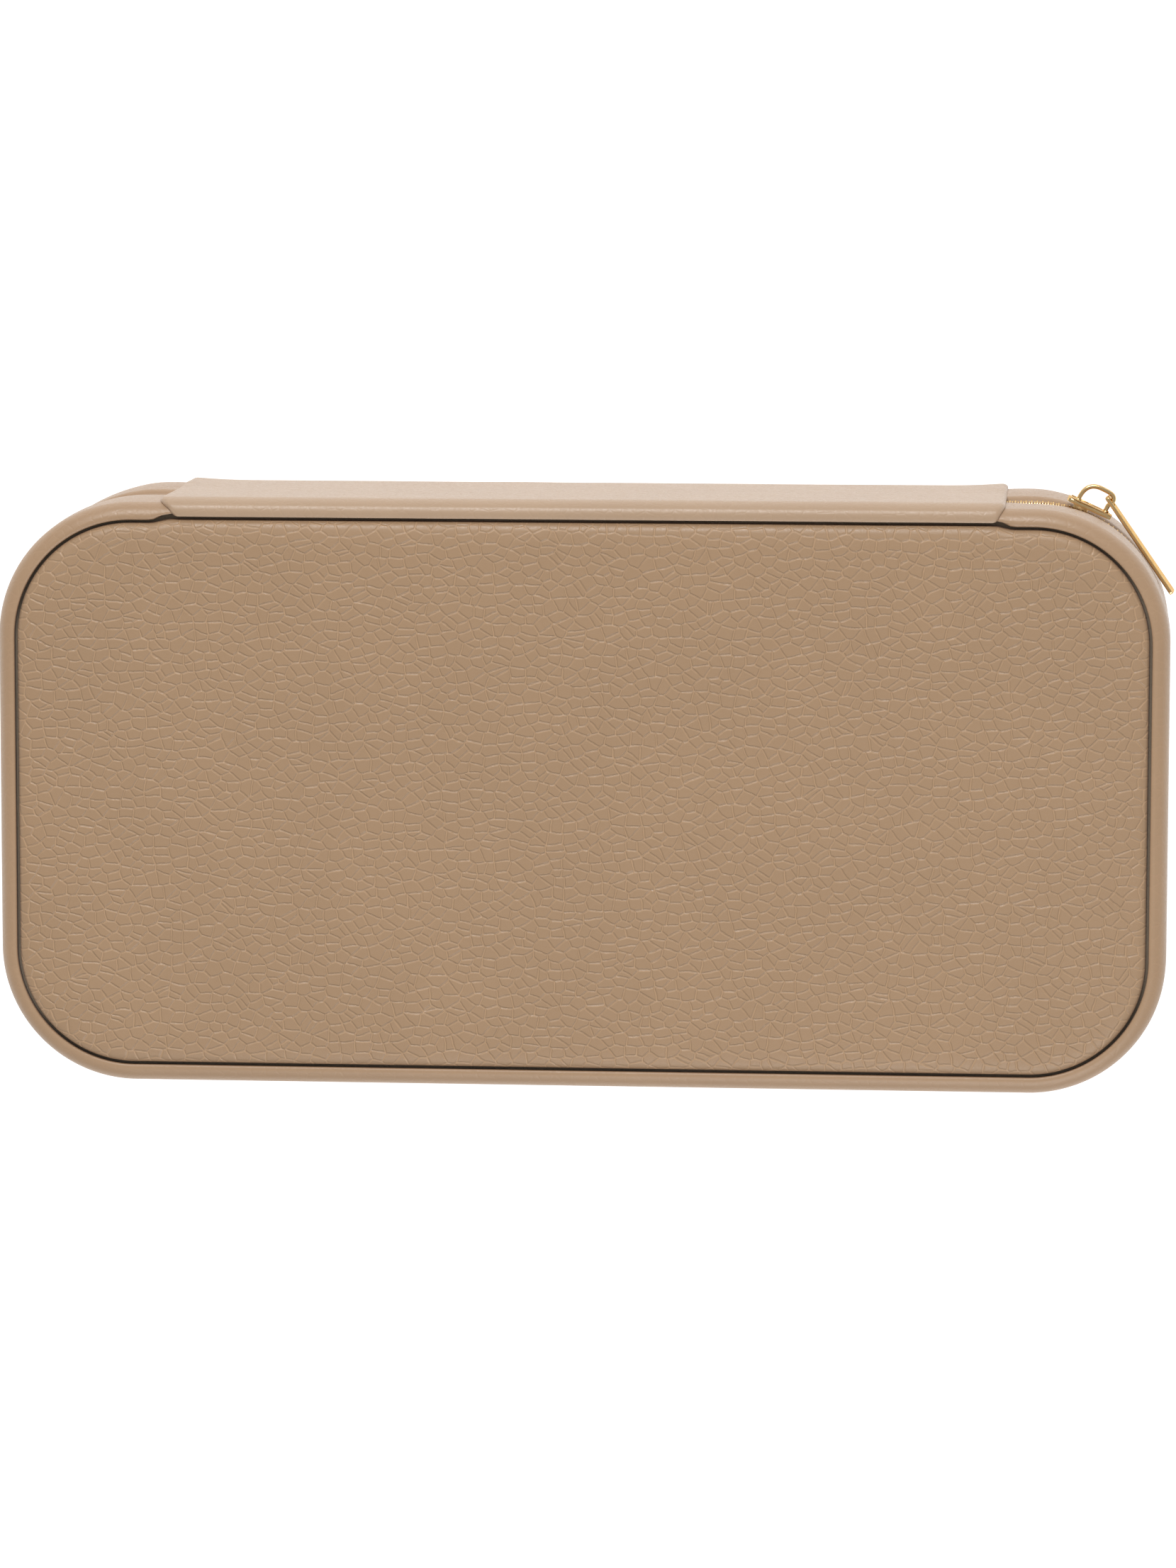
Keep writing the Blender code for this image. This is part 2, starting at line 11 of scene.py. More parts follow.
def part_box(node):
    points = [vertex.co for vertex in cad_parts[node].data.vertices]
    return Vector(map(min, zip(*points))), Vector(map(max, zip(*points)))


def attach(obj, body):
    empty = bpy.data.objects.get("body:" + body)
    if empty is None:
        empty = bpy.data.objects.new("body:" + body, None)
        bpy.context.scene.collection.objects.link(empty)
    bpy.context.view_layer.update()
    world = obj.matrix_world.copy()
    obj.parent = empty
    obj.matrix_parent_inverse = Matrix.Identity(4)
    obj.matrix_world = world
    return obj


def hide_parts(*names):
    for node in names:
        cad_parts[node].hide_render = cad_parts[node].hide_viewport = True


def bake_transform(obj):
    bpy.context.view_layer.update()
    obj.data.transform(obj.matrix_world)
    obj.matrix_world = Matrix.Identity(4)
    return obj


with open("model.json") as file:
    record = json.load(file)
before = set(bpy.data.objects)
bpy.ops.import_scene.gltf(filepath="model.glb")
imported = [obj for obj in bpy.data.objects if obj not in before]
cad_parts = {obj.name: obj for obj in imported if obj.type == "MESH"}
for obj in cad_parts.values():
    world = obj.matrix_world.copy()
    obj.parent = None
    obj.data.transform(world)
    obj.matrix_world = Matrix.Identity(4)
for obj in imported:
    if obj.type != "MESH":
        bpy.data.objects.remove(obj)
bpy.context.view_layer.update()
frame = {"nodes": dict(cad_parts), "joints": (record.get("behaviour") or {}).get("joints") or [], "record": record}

MM = 0.001


# ------------------------------------------------------------------ sizes, read from the frame

def corners(*nodes):
    """The lowest and highest corner of several CAD nodes together."""
    boxes = [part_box(node) for node in nodes]
    low = [min(box[0][axis] for box in boxes) for axis in range(3)]
    high = [max(box[1][axis] for box in boxes) for axis in range(3)]
    return low, high


def joint(name):
    return next(j for j in frame["joints"] if j["name"] == name)


wrap_low, wrap_high = corners("base_side_leather", "lid_side_leather")
HALF_X = wrap_high[0]
HALF_Y = wrap_high[1]
HEIGHT = corners("base_panel", "lid_panel")[1][2]
PARTING = joint("lid_hinge")["pos_m"][2]
ARC_X, ARC_Y = joint("slider_travel")["pos_m"][:2]
CORNER = HALF_X - ARC_X
RIM_Z = wrap_low[2]
EDGE_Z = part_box("base_side_leather")[1][2]
PANEL_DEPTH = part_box("base_panel")[1][2]
STRIP_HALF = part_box("hinge_strip_base")[1][0]
STRIP_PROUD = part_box("hinge_strip_base")[1][1] - HALF_Y
SLIDER_TURN = math.radians(66)
LINING_D = HALF_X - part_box("base_lining")[1][0]
LINING_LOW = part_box("base_lining")[0][2]
LINING_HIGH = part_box("base_lining")[1][2]
TAPE_D = HALF_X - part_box("zip_tape_base")[1][0]
RIM_RADIUS = 3.7 * MM

# How far the panel's edge lies inside the wall, the radius it is rolled under with, and how much
# fuller the lid's padding stands.
PANEL_EDGE = 4.22 * MM
PANEL_ROLL = 1.7 * MM
LID_PROUD = 0.4 * MM
# The line along the middle that flat faces close on ends this far inside the corners' centres.
MIDDLE_END = 30 * MM
# The spine strip's left and right end: how far it slants back over the rims, and its rounding.
LEFT_END = (3.3 * MM, 1.0 * MM)
RIGHT_END = (1.6 * MM, 1.3 * MM)


# --------------------------------------------------------------------------------- mesh tools

def smooth(mesh, angle=50.0):
    mesh.shade_smooth()
    mesh.set_sharp_from_angle(angle=math.radians(angle))


def linked(name, data):
    obj = bpy.data.objects.new(name, data)
    bpy.context.scene.collection.objects.link(obj)
    return obj


def ramp(value, start, width):
    """0 up to start and 1 from start + width on, both in millimetres, for a value in metres."""
    return np.clip((value - start * MM) / (width * MM), 0, 1)


def mesh_object(name, points, faces, angle=50.0):
    mesh = bpy.data.meshes.new(name)
    mesh.from_pydata([tuple(p) for p in points], [], faces)
    mesh.validate()
    smooth(mesh, angle)
    return linked(name, mesh)


def face_outwards(obj):
    shape = bmesh.new()
    shape.from_mesh(obj.data)
    bmesh.ops.remove_doubles(shape, verts=shape.verts, dist=0.000004)
    bmesh.ops.recalc_face_normals(shape, faces=shape.faces)
    shape.to_mesh(obj.data)
    shape.free()
    smooth(obj.data)
    return obj


def grid_faces(rows, columns, close_rows=False, close_columns=False):
    faces = []
    for r in range(rows if close_rows else rows - 1):
        for c in range(columns if close_columns else columns - 1):
            r2, c2 = (r + 1) % rows, (c + 1) % columns
            faces.append((r * columns + c, r * columns + c2, r2 * columns + c2, r2 * columns + c))
    return faces


def loft(name, grid, close_rows=False, close_columns=False, caps=False, angle=50.0):
    """Joins a rows x columns grid of points with faces. Caps close the first and last row."""
    grid = np.asarray(grid, float)
    rows, columns = grid.shape[:2]
    faces = grid_faces(rows, columns, close_rows, close_columns)
    if caps:
        faces.append(tuple(range(columns)))
        faces.append(tuple(range((rows - 1) * columns, rows * columns)))
    obj = mesh_object(name, grid.reshape(-1, 3), faces, angle)
    return face_outwards(obj)


def tube(name, grid, angle=50.0):
    return loft(name, grid, close_columns=True, caps=True, angle=angle)


def rolled(share):
    """How far a quarter-round edge lies below its top: 1 at its foot, and 0 from a share of 1 on."""
    return 1 - math.sqrt(max(0.0, 1 - (1 - min(share, 1.0)) ** 2))


def arc(x, y, radius, start, end, steps):
    turn = np.radians(np.linspace(start, end, steps + 1))
    return np.stack([x + radius * np.cos(turn), y + radius * np.sin(turn)], 1)


def outline(step=1.0 * MM, start=0.0, end=None):
    """Points and outward normals round the side leather, anticlockwise from the right side's middle.

    start and end are lengths along the line; without an end it is the whole closed line.
    """
    side = HALF_Y - CORNER
    long = HALF_X - CORNER
    quarter = CORNER * math.pi / 2
    lengths = [side, quarter, 2 * long, quarter, 2 * side, quarter, 2 * long, quarter, side]
    total = sum(lengths)
    stop = total if end is None else end
    count = max(2, round((stop - start) / step))
    places = np.linspace(start, stop, count, endpoint=end is not None)
    points = np.zeros((len(places), 2))
    normals = np.zeros((len(places), 2))
    begins = np.cumsum([0] + lengths)
    straight = {0: ((HALF_X, 0), (0, 1), (1, 0)), 2: ((long, HALF_Y), (-1, 0), (0, 1)),
                4: ((-HALF_X, side), (0, -1), (-1, 0)), 6: ((-long, -HALF_Y), (1, 0), (0, -1)),
                8: ((HALF_X, -side), (0, 1), (1, 0))}
    centres = {1: (long, side), 3: (-long, side), 5: (-long, -side), 7: (long, -side)}
    for i, place in enumerate(places):
        place = place % total
        part = min(int(np.searchsorted(begins, place, side="right")) - 1, 8)
        along = place - begins[part]
        if part in straight:
            origin, direction, normal = straight[part]
            points[i] = np.add(origin, np.multiply(direction, along))
            normals[i] = normal
        else:
            turn = (part - 1) / 2 * math.pi / 2 + along / CORNER
            normals[i] = math.cos(turn), math.sin(turn)
            points[i] = np.add(centres[part], CORNER * normals[i])
    return points, normals


def line_length(where):
    """The length along the outline to the strip's end or to an angle on the slider's corner."""
    side = HALF_Y - CORNER
    quarter = CORNER * math.pi / 2
    if where == "left strip end":
        return side + quarter + (HALF_X - CORNER) + STRIP_HALF - 2 * MM
    whole = 4 * side + 4 * (HALF_X - CORNER) + 4 * quarter
    return whole + side + CORNER * math.radians(where)


def ring_grid(depths, heights, lid, points, normals, bulge=None):
    """A section of depths and heights carried round an outline, as a grid: one row a place."""
    depths = np.asarray(depths, float)
    heights = np.asarray(heights, float)
    if lid:
        heights = HEIGHT - heights
    rows = np.zeros((len(points), len(depths), 3))
    out = 0.0 if bulge is None else bulge[:, None]
    for axis in range(2):
        rows[:, :, axis] = points[:, None, axis] - normals[:, None, axis] * (depths[None, :] - out)
    rows[:, :, 2] = heights[None, :]
    return rows


def ripple(place, size, seed=0.0):
    return noise.noise(Vector((place[0] / size + seed, place[1] / size - seed, place[2] / size + 2 * seed)))


def mark(obj, name, values):
    attribute = obj.data.attributes.new(name, "FLOAT", "POINT")
    attribute.data.foreach_set("value", np.asarray(values, np.float32))


def positions(obj):
    flat = np.zeros(len(obj.data.vertices) * 3)
    obj.data.vertices.foreach_get("co", flat)
    return flat.reshape(-1, 3)


# ---------------------------------------------------------------------------------- materials

class Nodes:
    """A short way to write a node material."""

    def __init__(self, name):
        self.material = bpy.data.materials.new(name)
        self.material.use_nodes = True
        self.tree = self.material.node_tree
        self.shader = self.tree.nodes["Principled BSDF"]
        where = self.add("ShaderNodeTexCoord")
        self.place = self.add("ShaderNodeMapping", Vector=where.outputs["Object"])
        self.place.inputs["Scale"].default_value = (1000, 1000, 1000)

    def add(self, kind, **links):
        node = self.tree.nodes.new(kind)
        for name, value in links.items():
            self.set(node, name.replace("_", " "), value)
        return node

    def set(self, node, name, value):
        socket = node.inputs[int(name)] if name.isdigit() else node.inputs[name]
        if isinstance(value, bpy.types.NodeSocket):
            self.tree.links.new(value, socket)
        else:
            socket.default_value = value

    def scaled(self, x, y, z):
        node = self.add("ShaderNodeMapping", Vector=self.place.outputs[0])
        node.inputs["Scale"].default_value = (x, y, z)
        return node.outputs[0]

    def noise(self, size, detail=2.0, vector=None, rough=0.5, output="Fac"):
        node = self.add("ShaderNodeTexNoise", Vector=vector or self.place.outputs[0], Scale=1 / size,
                        Detail=detail, Roughness=rough)
        return node.outputs[output]

    def math(self, operation, a, b=0.0):
        node = self.add("ShaderNodeMath")
        node.operation = operation
        self.set(node, "0", a)
        self.set(node, "1", b)
        return node.outputs[0]

    def span(self, value, low, high, to_low=0.0, to_high=1.0):
        node = self.add("ShaderNodeMapRange")
        node.interpolation_type = "SMOOTHSTEP"
        names = ("Value", "From Min", "From Max", "To Min", "To Max")
        for name, number in zip(names, (value, low, high, to_low, to_high)):
            self.set(node, name, number)
        return node.outputs[0]

    def mix(self, share, a, b):
        node = self.add("ShaderNodeMix")
        node.data_type = "RGBA"
        self.set(node, "0", share)
        self.set(node, "6", a)
        self.set(node, "7", b)
        return node.outputs[2]

    def value(self, attribute):
        node = self.add("ShaderNodeAttribute")
        node.attribute_name = attribute
        return node.outputs["Fac"]

    def bump(self, height, distance):
        """height is in units of distance, which is in millimetres."""
        return self.add("ShaderNodeBump", Height=height, Distance=distance * MM, Strength=1.0).outputs[0]

    def shifted(self, vector, size, amount):
        """The vector pushed about by noise. size and amount are in millimetres."""
        node = self.add("ShaderNodeVectorMath")
        node.operation = "MULTIPLY_ADD"
        self.set(node, "0", self.noise(size, 1.0, output="Color"))
        self.set(node, "1", (amount, amount, amount))
        self.set(node, "2", vector)
        return node.outputs[0]

    def creases(self, vector, scale=1.0, dimensions="3D"):
        """The distance to the nearest edge between cells."""
        node = self.add("ShaderNodeTexVoronoi", Vector=vector, Scale=scale)
        node.feature = "DISTANCE_TO_EDGE"
        node.voronoi_dimensions = dimensions
        return node.outputs["Distance"]

    def tinted(self, colour, shade):
        node = self.add("ShaderNodeVectorMath")
        node.operation = "SCALE"
        self.set(node, "0", colour)
        self.set(node, "Scale", shade)
        return node.outputs[0]

    def finish(self, colour, roughness, normal=None, **constants):
        self.set(self.shader, "Base Color", colour)
        self.set(self.shader, "Roughness", roughness)
        if normal is not None:
            self.set(self.shader, "Normal", normal)
        for name, number in constants.items():
            self.set(self.shader, name.replace("_", " "), number)
        return self.material


def rgb(r, g, b):
    return (r, g, b, 1.0)


def leather(name, colour, cell=(2.8, 2.1, 2.5), depth=0.19, rough=0.41, line=1.26, marked=False,
            flat=False):
    """Pebbled leather: rounded cells with creases between them, fine pores and a slight mottle.

    A painted highlight lightens the colour along one side of each crease, by line. flat draws the cells
    in two dimensions, for faces that look along z. marked reads how strong the grain is, and the painted
    shade deep in the groove, from the mesh.
    """
    n = Nodes(name)
    place = n.add("ShaderNodeMapping", Vector=n.shifted(n.shifted(n.place.outputs[0], 5.0, 1.0), 1.5, 0.28))
    place.inputs["Scale"].default_value = tuple(1 / size for size in cell)
    dimensions = "2D" if flat else "3D"
    pillow = n.span(n.creases(place.outputs[0], 1.0, dimensions), 0.0, 0.13)
    split = n.span(n.creases(place.outputs[0], 1.9), 0.0, 0.09)
    fine = n.noise(0.45, 2.0)
    height = n.math("ADD", n.math("MULTIPLY", pillow, 0.8), n.math("MULTIPLY", split, 0.06))
    height = n.math("ADD", height, n.math("MULTIPLY", fine, 0.10))
    if marked:
        height = n.math("MULTIPLY", height, n.value("grain"))
    # A copy of the cells moved a little along y: along its creases the colour is lightened, a painted highlight on
    # one side of each crease.
    lower = n.add("ShaderNodeMapping", Vector=place.outputs[0])
    lower.inputs["Location"].default_value = (0.0, 0.13, 0.0)
    painted_crease_highlight = n.span(n.creases(lower.outputs[0], 1.0, dimensions), 0.0, 0.075, line, 1.0)
    mottle = n.span(n.noise(22.0, 3.0), 0.3, 0.7, 0.985, 1.015)
    # The colour is the leather's own tone with its mottle, lightened by the painted crease highlight.
    result = n.tinted(colour, n.math("MULTIPLY", mottle, painted_crease_highlight))
    roughness = n.span(fine, 0.3, 0.7, rough - 0.05, rough + 0.07)
    if marked:
        # Deep in the groove the colour is mixed towards a dark brown as painted shade, and the roughness is
        # raised.
        inside = n.value("groove")
        result = n.mix(inside, result, rgb(0.085, 0.034, 0.012))
        roughness = n.math("MAXIMUM", roughness, inside)
    return n.finish(result, roughness, n.bump(height, depth), Specular_IOR_Level=0.5, Sheen_Weight=0.08,
                    Sheen_Roughness=0.5)


def velvet(name, colour):
    n = Nodes(name)
    pile = n.noise(0.5, 3.0, rough=0.7)
    brushed = n.span(n.noise(14.0, 3.0), 0.3, 0.7, 0.95, 1.04)
    shade = n.math("MULTIPLY", brushed, n.span(pile, 0.2, 0.8, 0.9, 1.1))
    return n.finish(n.tinted(colour, shade), n.span(pile, 0.2, 0.8, 0.8, 0.98), n.bump(pile, 0.10),
                    Specular_IOR_Level=0.2, Sheen_Weight=0.6, Sheen_Roughness=0.35)


def gold(name, colour, rough=0.24, wear=1.0):
    n = Nodes(name)
    haze = n.noise(1.3, 3.0)
    scratch = n.noise(0.25, 2.0, n.scaled(1.0, 1.0, 0.12))
    roughness = n.span(haze, 0.3, 0.75, rough, rough + 0.14 * wear)
    shade = n.mix(n.span(haze, 0.35, 0.75), rgb(*colour),
                  rgb(colour[0] * 0.9, colour[1] * 0.84, colour[2] * 0.74))
    return n.finish(shade, roughness, n.bump(scratch, 0.0015 * wear), Metallic=1.0,
                    Specular_Tint=rgb(0.80, 0.62, 0.36))


def woven(name, colour, pitch=0.55):
    """A plain weave of threads along and across the zip's tape."""
    n = Nodes(name)
    split = n.add("ShaderNodeSeparateXYZ", Vector=n.place.outputs[0])
    along = n.math("ADD", split.outputs["X"], split.outputs["Y"])
    warp = n.math("SINE", n.math("MULTIPLY", along, 2 * math.pi / pitch))
    weft = n.math("SINE", n.math("MULTIPLY", split.outputs["Z"], 2 * math.pi / pitch))
    weave = n.math("MULTIPLY", warp, weft)
    fuzz = n.noise(0.3, 2.0)
    shade = n.mix(n.span(weave, -1.0, 1.0), rgb(*(c * 0.7 for c in colour)), rgb(*colour))
    return n.finish(shade, n.span(fuzz, 0.2, 0.8, 0.75, 0.95), n.bump(weave, 0.05),
                    Specular_IOR_Level=0.2, Sheen_Weight=0.2)


def board(name, colour):
    """Grey-brown pressed paperboard with fibres and a faint layering."""
    n = Nodes(name)
    fibre = n.noise(0.8, 4.0, n.scaled(0.25, 1.0, 1.0), 0.65)
    layer = n.noise(0.35, 1.0, n.scaled(0.05, 0.05, 1.0))
    fleck = n.span(n.noise(0.6, 2.0), 0.62, 0.72)
    shade = n.mix(fibre, rgb(*(c * 0.8 for c in colour)), rgb(*colour))
    shade = n.mix(n.math("MULTIPLY", fleck, 0.4), shade, rgb(*(c * 0.5 for c in colour)))
    height = n.math("ADD", fibre, layer)
    return n.finish(shade, n.span(fibre, 0.3, 0.7, 0.8, 0.95), n.bump(height, 0.05))


def foam(name, colour):
    n = Nodes(name)
    pores = n.add("ShaderNodeTexVoronoi", Vector=n.place.outputs[0], Scale=1.6).outputs["Distance"]
    shade = n.mix(n.span(pores, 0.0, 0.5), rgb(*(c * 0.75 for c in colour)), rgb(*colour))
    return n.finish(shade, n.span(pores, 0.0, 0.6, 0.85, 1.0), n.bump(pores, 0.3))


def floor_paper():
    n = Nodes("floor_paper")
    tooth = n.noise(1.2, 3.0)
    shade = n.mix(tooth, rgb(0.44, 0.44, 0.44), rgb(0.46, 0.46, 0.46))
    return n.finish(shade, 0.95, Specular_IOR_Level=0.1, Emission_Color=rgb(1, 1, 1),
                    Emission_Strength=0.82)


PANEL = (0.360, 0.229, 0.131)
# In each leather, line sets how much a painted highlight lightens one side of each crease.
LOOKS = {
    "panel_leather": leather("panel_leather", PANEL, flat=True),
    "rim_leather": leather("rim_leather", (0.384, 0.247, 0.146), cell=(2.6, 2.2, 2.2), depth=0.11,
                           rough=0.40, line=1.03, marked=True),
    # The spine leather is lighter and paler than the panel's: painted sheen, standing in for the light reflected
    # off its upturned face.
    "spine_leather": leather("spine_leather", (0.425, 0.292, 0.190), cell=(2.6, 2.2, 2.2), depth=0.12,
                             rough=0.39, line=1.02, marked=True),
    "panel_edge_leather": leather("panel_edge_leather", PANEL, marked=True, flat=True),
    "velvet": velvet("velvet", (0.50, 0.385, 0.285)),
    "gold_metal": gold("gold_metal", (0.80, 0.58, 0.30), 0.17),
    "zip_teeth": gold("zip_teeth", (0.80, 0.60, 0.34), 0.26, 1.5),
    "zip_tape": woven("zip_tape", (0.30, 0.19, 0.115)),
    "paperboard": board("paperboard", (0.36, 0.28, 0.20)),
    "foam": foam("foam", (0.80, 0.76, 0.66)),
}


def dress(obj, slot_name, body=None, stands_for=(), look=None):
    """Look, slot, body and the CAD nodes it stands for. The look is the slot's own, or one by name."""
    obj.data.materials.clear()
    obj.data.materials.append(LOOKS[look or slot_name])
    if body:
        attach(obj, body)
    if stands_for:
        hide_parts(*stands_for)
    return obj


# ------------------------------------------------------------------------ camera, light, floor

def camera():
    """The viewpoint: nearly square on to the lid panel, a little from the spine's side and the right."""
    right = Vector((0.9968, 0.0017, -0.0805))
    up = Vector((-0.0116, 0.9924, -0.1223))
    ahead = Vector((-0.0797, -0.1228, -0.9892))
    centre = Vector((0, 0, PARTING))
    data = bpy.data.cameras.new("camera")
    data.lens = 139.42
    data.sensor_width = 36
    data.clip_start = 0.01
    data.clip_end = 10
    obj = linked("camera", data)
    obj.location = centre - ahead * 1.3206 - right * 0.00024 - up * 0.00016
    obj.rotation_mode = "QUATERNION"
    back = -ahead
    across = up.cross(back).normalized()
    upright = back.cross(across).normalized()
    turn = np.array([across, upright, back.normalized()]).T
    obj.rotation_quaternion = Matrix(turn.tolist()).to_quaternion()
    bpy.context.scene.camera = obj


def area_light(name, place, target, size, power):
    data = bpy.data.lights.new(name, "AREA")
    data.shape = "RECTANGLE"
    data.size, data.size_y = size
    data.energy = power
    obj = linked(name, data)
    obj.location = place
    obj.rotation_mode = "QUATERNION"
    obj.rotation_quaternion = (Vector(target) - Vector(place)).to_track_quat("-Z", "Y")


def studio():
    world = bpy.data.worlds.new("studio")
    world.use_nodes = True
    world.node_tree.nodes["Background"].inputs[0].default_value = (1.0, 1.0, 1.0, 1.0)
    world.node_tree.nodes["Background"].inputs[1].default_value = 0.42
    bpy.context.scene.world = world
    area_light("key", (-0.3, 2.35, 2.05), (0, 0, 0.03), (1.7, 1.1), 62.0)
    area_light("front", (0.3, -0.95, 0.95), (0, 0, 0), (0.9, 0.9), 8.0)
    bpy.ops.mesh.primitive_plane_add(size=6)
    ground = bpy.context.object
    ground.name = "floor"
    ground.data.materials.append(floor_paper())
    bpy.context.scene.view_settings.view_transform = "Standard"


# ------------------------------------------------------------------------------ the two halves

def strip_share(x):
    """1 under the spine strip and 0 beyond its ends, with a soft step of 5 mm between them."""
    share = ramp(STRIP_HALF - np.abs(x), -2, 5)
    return share * share * (3 - 2 * share)


def strip_bulge(points):
    """How far the back of the case stands out under the spine strip, along an outline."""
    return np.where(points[:, 1] > 0, strip_share(points[:, 0]), 0.0)


def end_swell(x, z):
    """The base's leather stands fuller beside the strip's ends, where it is gathered under them."""
    lip = ramp(EDGE_Z - z, 0, 8)
    return (0.45 + 0.2 * lip) * MM * np.exp(-((np.abs(x) - 94 * MM) / (9 * MM)) ** 2)


def end_dip(x, z):
    """The lid's lip is drawn in a little beside the strip's ends. z is a height in the lid's own half."""
    return -0.45 * MM * np.exp(-((x - 97 * MM) / (8 * MM)) ** 2) * ramp(z, 12, 8)


def wrap_section(rim, crown, groove_edge):
    """Depths and heights of the wrap: over the wall's edge, down the wall, round the rim and in."""
    lip = 2.1 * MM
    lip_z = EDGE_Z - lip
    rim_z = RIM_Z + RIM_RADIUS
    deep = rim_z - crown
    outer = [(3.1 * MM, EDGE_Z - 0.5 * MM), (2.6 * MM, EDGE_Z - 0.12 * MM)]
    outer += [(lip - x, z) for x, z in arc(0, lip_z, lip, 90, 0, 10)]
    outer += [(-0.22 * MM * math.sin(math.pi * t), lip_z + (rim_z - lip_z) * t) for t in
              np.linspace(0, 1, 14)[1:-1]]
    turns = np.radians(np.linspace(0, 74, 14))
    outer += [(rim * (1 - math.cos(turn)), rim_z - deep * math.sin(turn)) for turn in turns]
    last = outer[-1]
    outer += [(last[0] + 0.38 * MM, last[1] - 0.04 * MM), (groove_edge - 0.26 * MM, last[1] + 0.02 * MM),
              (groove_edge - 0.07 * MM, last[1] + 0.2 * MM), (groove_edge, last[1] + 0.6 * MM),
              (groove_edge, crown + 1.5 * MM), (groove_edge - 0.05 * MM, 3.1 * MM)]
    inner = [(groove_edge - 0.95 * MM, 3.1 * MM), (groove_edge - 0.95 * MM, crown + 1.8 * MM)]
    thin = rim - 0.98 * MM
    inner += [(rim - thin * math.cos(turn), rim_z - (deep - 0.98 * MM) * math.sin(turn))
              for turn in np.radians(np.linspace(60, 0, 6))]
    inner += [(0.98 * MM, lip_z), (1.3 * MM, lip_z + 0.8 * MM), (2.1 * MM, EDGE_Z - 1.0 * MM),
              (3.1 * MM, EDGE_Z - 1.2 * MM)]
    return np.array(outer + inner)


def side_leather(word, lid):
    """The wrap round one half. Under the spine strip it lies lower and its groove is further out."""
    plain = wrap_section(RIM_RADIUS, RIM_Z, RIM_RADIUS + 0.05 * MM)
    under = wrap_section(RIM_RADIUS - STRIP_PROUD, RIM_Z + 0.7 * MM, RIM_RADIUS - STRIP_PROUD - 0.5 * MM)
    points, normals = outline(1.2 * MM)
    above = strip_bulge(points)[:, None]
    early = np.where(points[:, 0] > 0, 3.5 * MM, 2.7 * MM)
    below = np.where(points[:, 1] > 0, strip_share(np.abs(points[:, 0]) + early), 0.0)[:, None]
    at_groove = ramp(plain[None, :, 0], 2.2, 1.2)
    share = above * at_groove + below * (1 - at_groove)
    depths = plain[None, :, 0] * (1 - share) + under[None, :, 0] * share
    heights = plain[None, :, 1] * (1 - share) + under[None, :, 1] * share
    grid = np.zeros((*depths.shape, 3))
    behind = (points[:, 1] > ARC_Y)[:, None]
    swell = end_dip(points[:, :1], heights) if lid else end_swell(points[:, :1], heights)
    depths = depths - behind * swell * (1 - ramp(depths, 0, 3))
    for axis in range(2):
        grid[:, :, axis] = points[:, None, axis] - normals[:, None, axis] * depths
    grid[:, :, 2] = HEIGHT - heights if lid else heights
    obj = loft(word + "_wrap", grid, close_rows=True, close_columns=True)
    place = positions(obj)
    # The groove attribute marks where the colour is darkened as painted shade.
    mark(obj, "groove", groove_painted_shade(place, lid))
    low = HEIGHT - place[:, 2] if lid else place[:, 2]
    mark(obj, "grain", 0.2 + 0.8 * wall_share(low))
    return dress(obj, "rim_leather", word, [word + "_side_leather"])


def wall_share(low):
    """1 on the wall, where the leather keeps its grain, and 0 where it is stretched round an edge."""
    return ramp(low, 3.5, 3.5) * ramp(EDGE_Z - low, 1, 3)


def edge_distance(place):
    """How far points lie inside the outline of the side leather, seen from above."""
    x = np.abs(place[:, 0]) - ARC_X
    y = np.abs(place[:, 1]) - ARC_Y
    outside = np.hypot(np.maximum(x, 0), np.maximum(y, 0))
    return CORNER - np.where((x > 0) | (y > 0), outside, np.maximum(x, y))


def groove_painted_shade(place, lid):
    """Painted shade: 1 deep in the groove beside the panel, where the colour is darkened, 0 on the rim's crown and
    on the wall.
    """
    bulge = np.zeros(len(place))
    behind = (place[:, 1] > 0) & (np.abs(place[:, 0]) < STRIP_HALF)
    bulge[behind] = STRIP_PROUD
    inset = edge_distance(place) + bulge
    depth = np.abs(place[:, 2] - (HEIGHT if lid else 0))
    return ramp(inset, 3.5, 0.25) * (1 - ramp(inset, 5.2, 0.4)) * ramp(depth, 1.4, 0.5)


def towards_middle(rim, steps):
    """Rings from an outline in to a line along the middle: their share of the way, points and the way."""
    reach = ARC_X - MIDDLE_END
    way = np.stack([np.clip(rim[:, 0], -reach, reach), np.zeros(len(rim))], 1) - rim
    for share in np.linspace(0, 1, steps)[1:]:
        yield share, rim + way * share, np.hypot(*way.T)


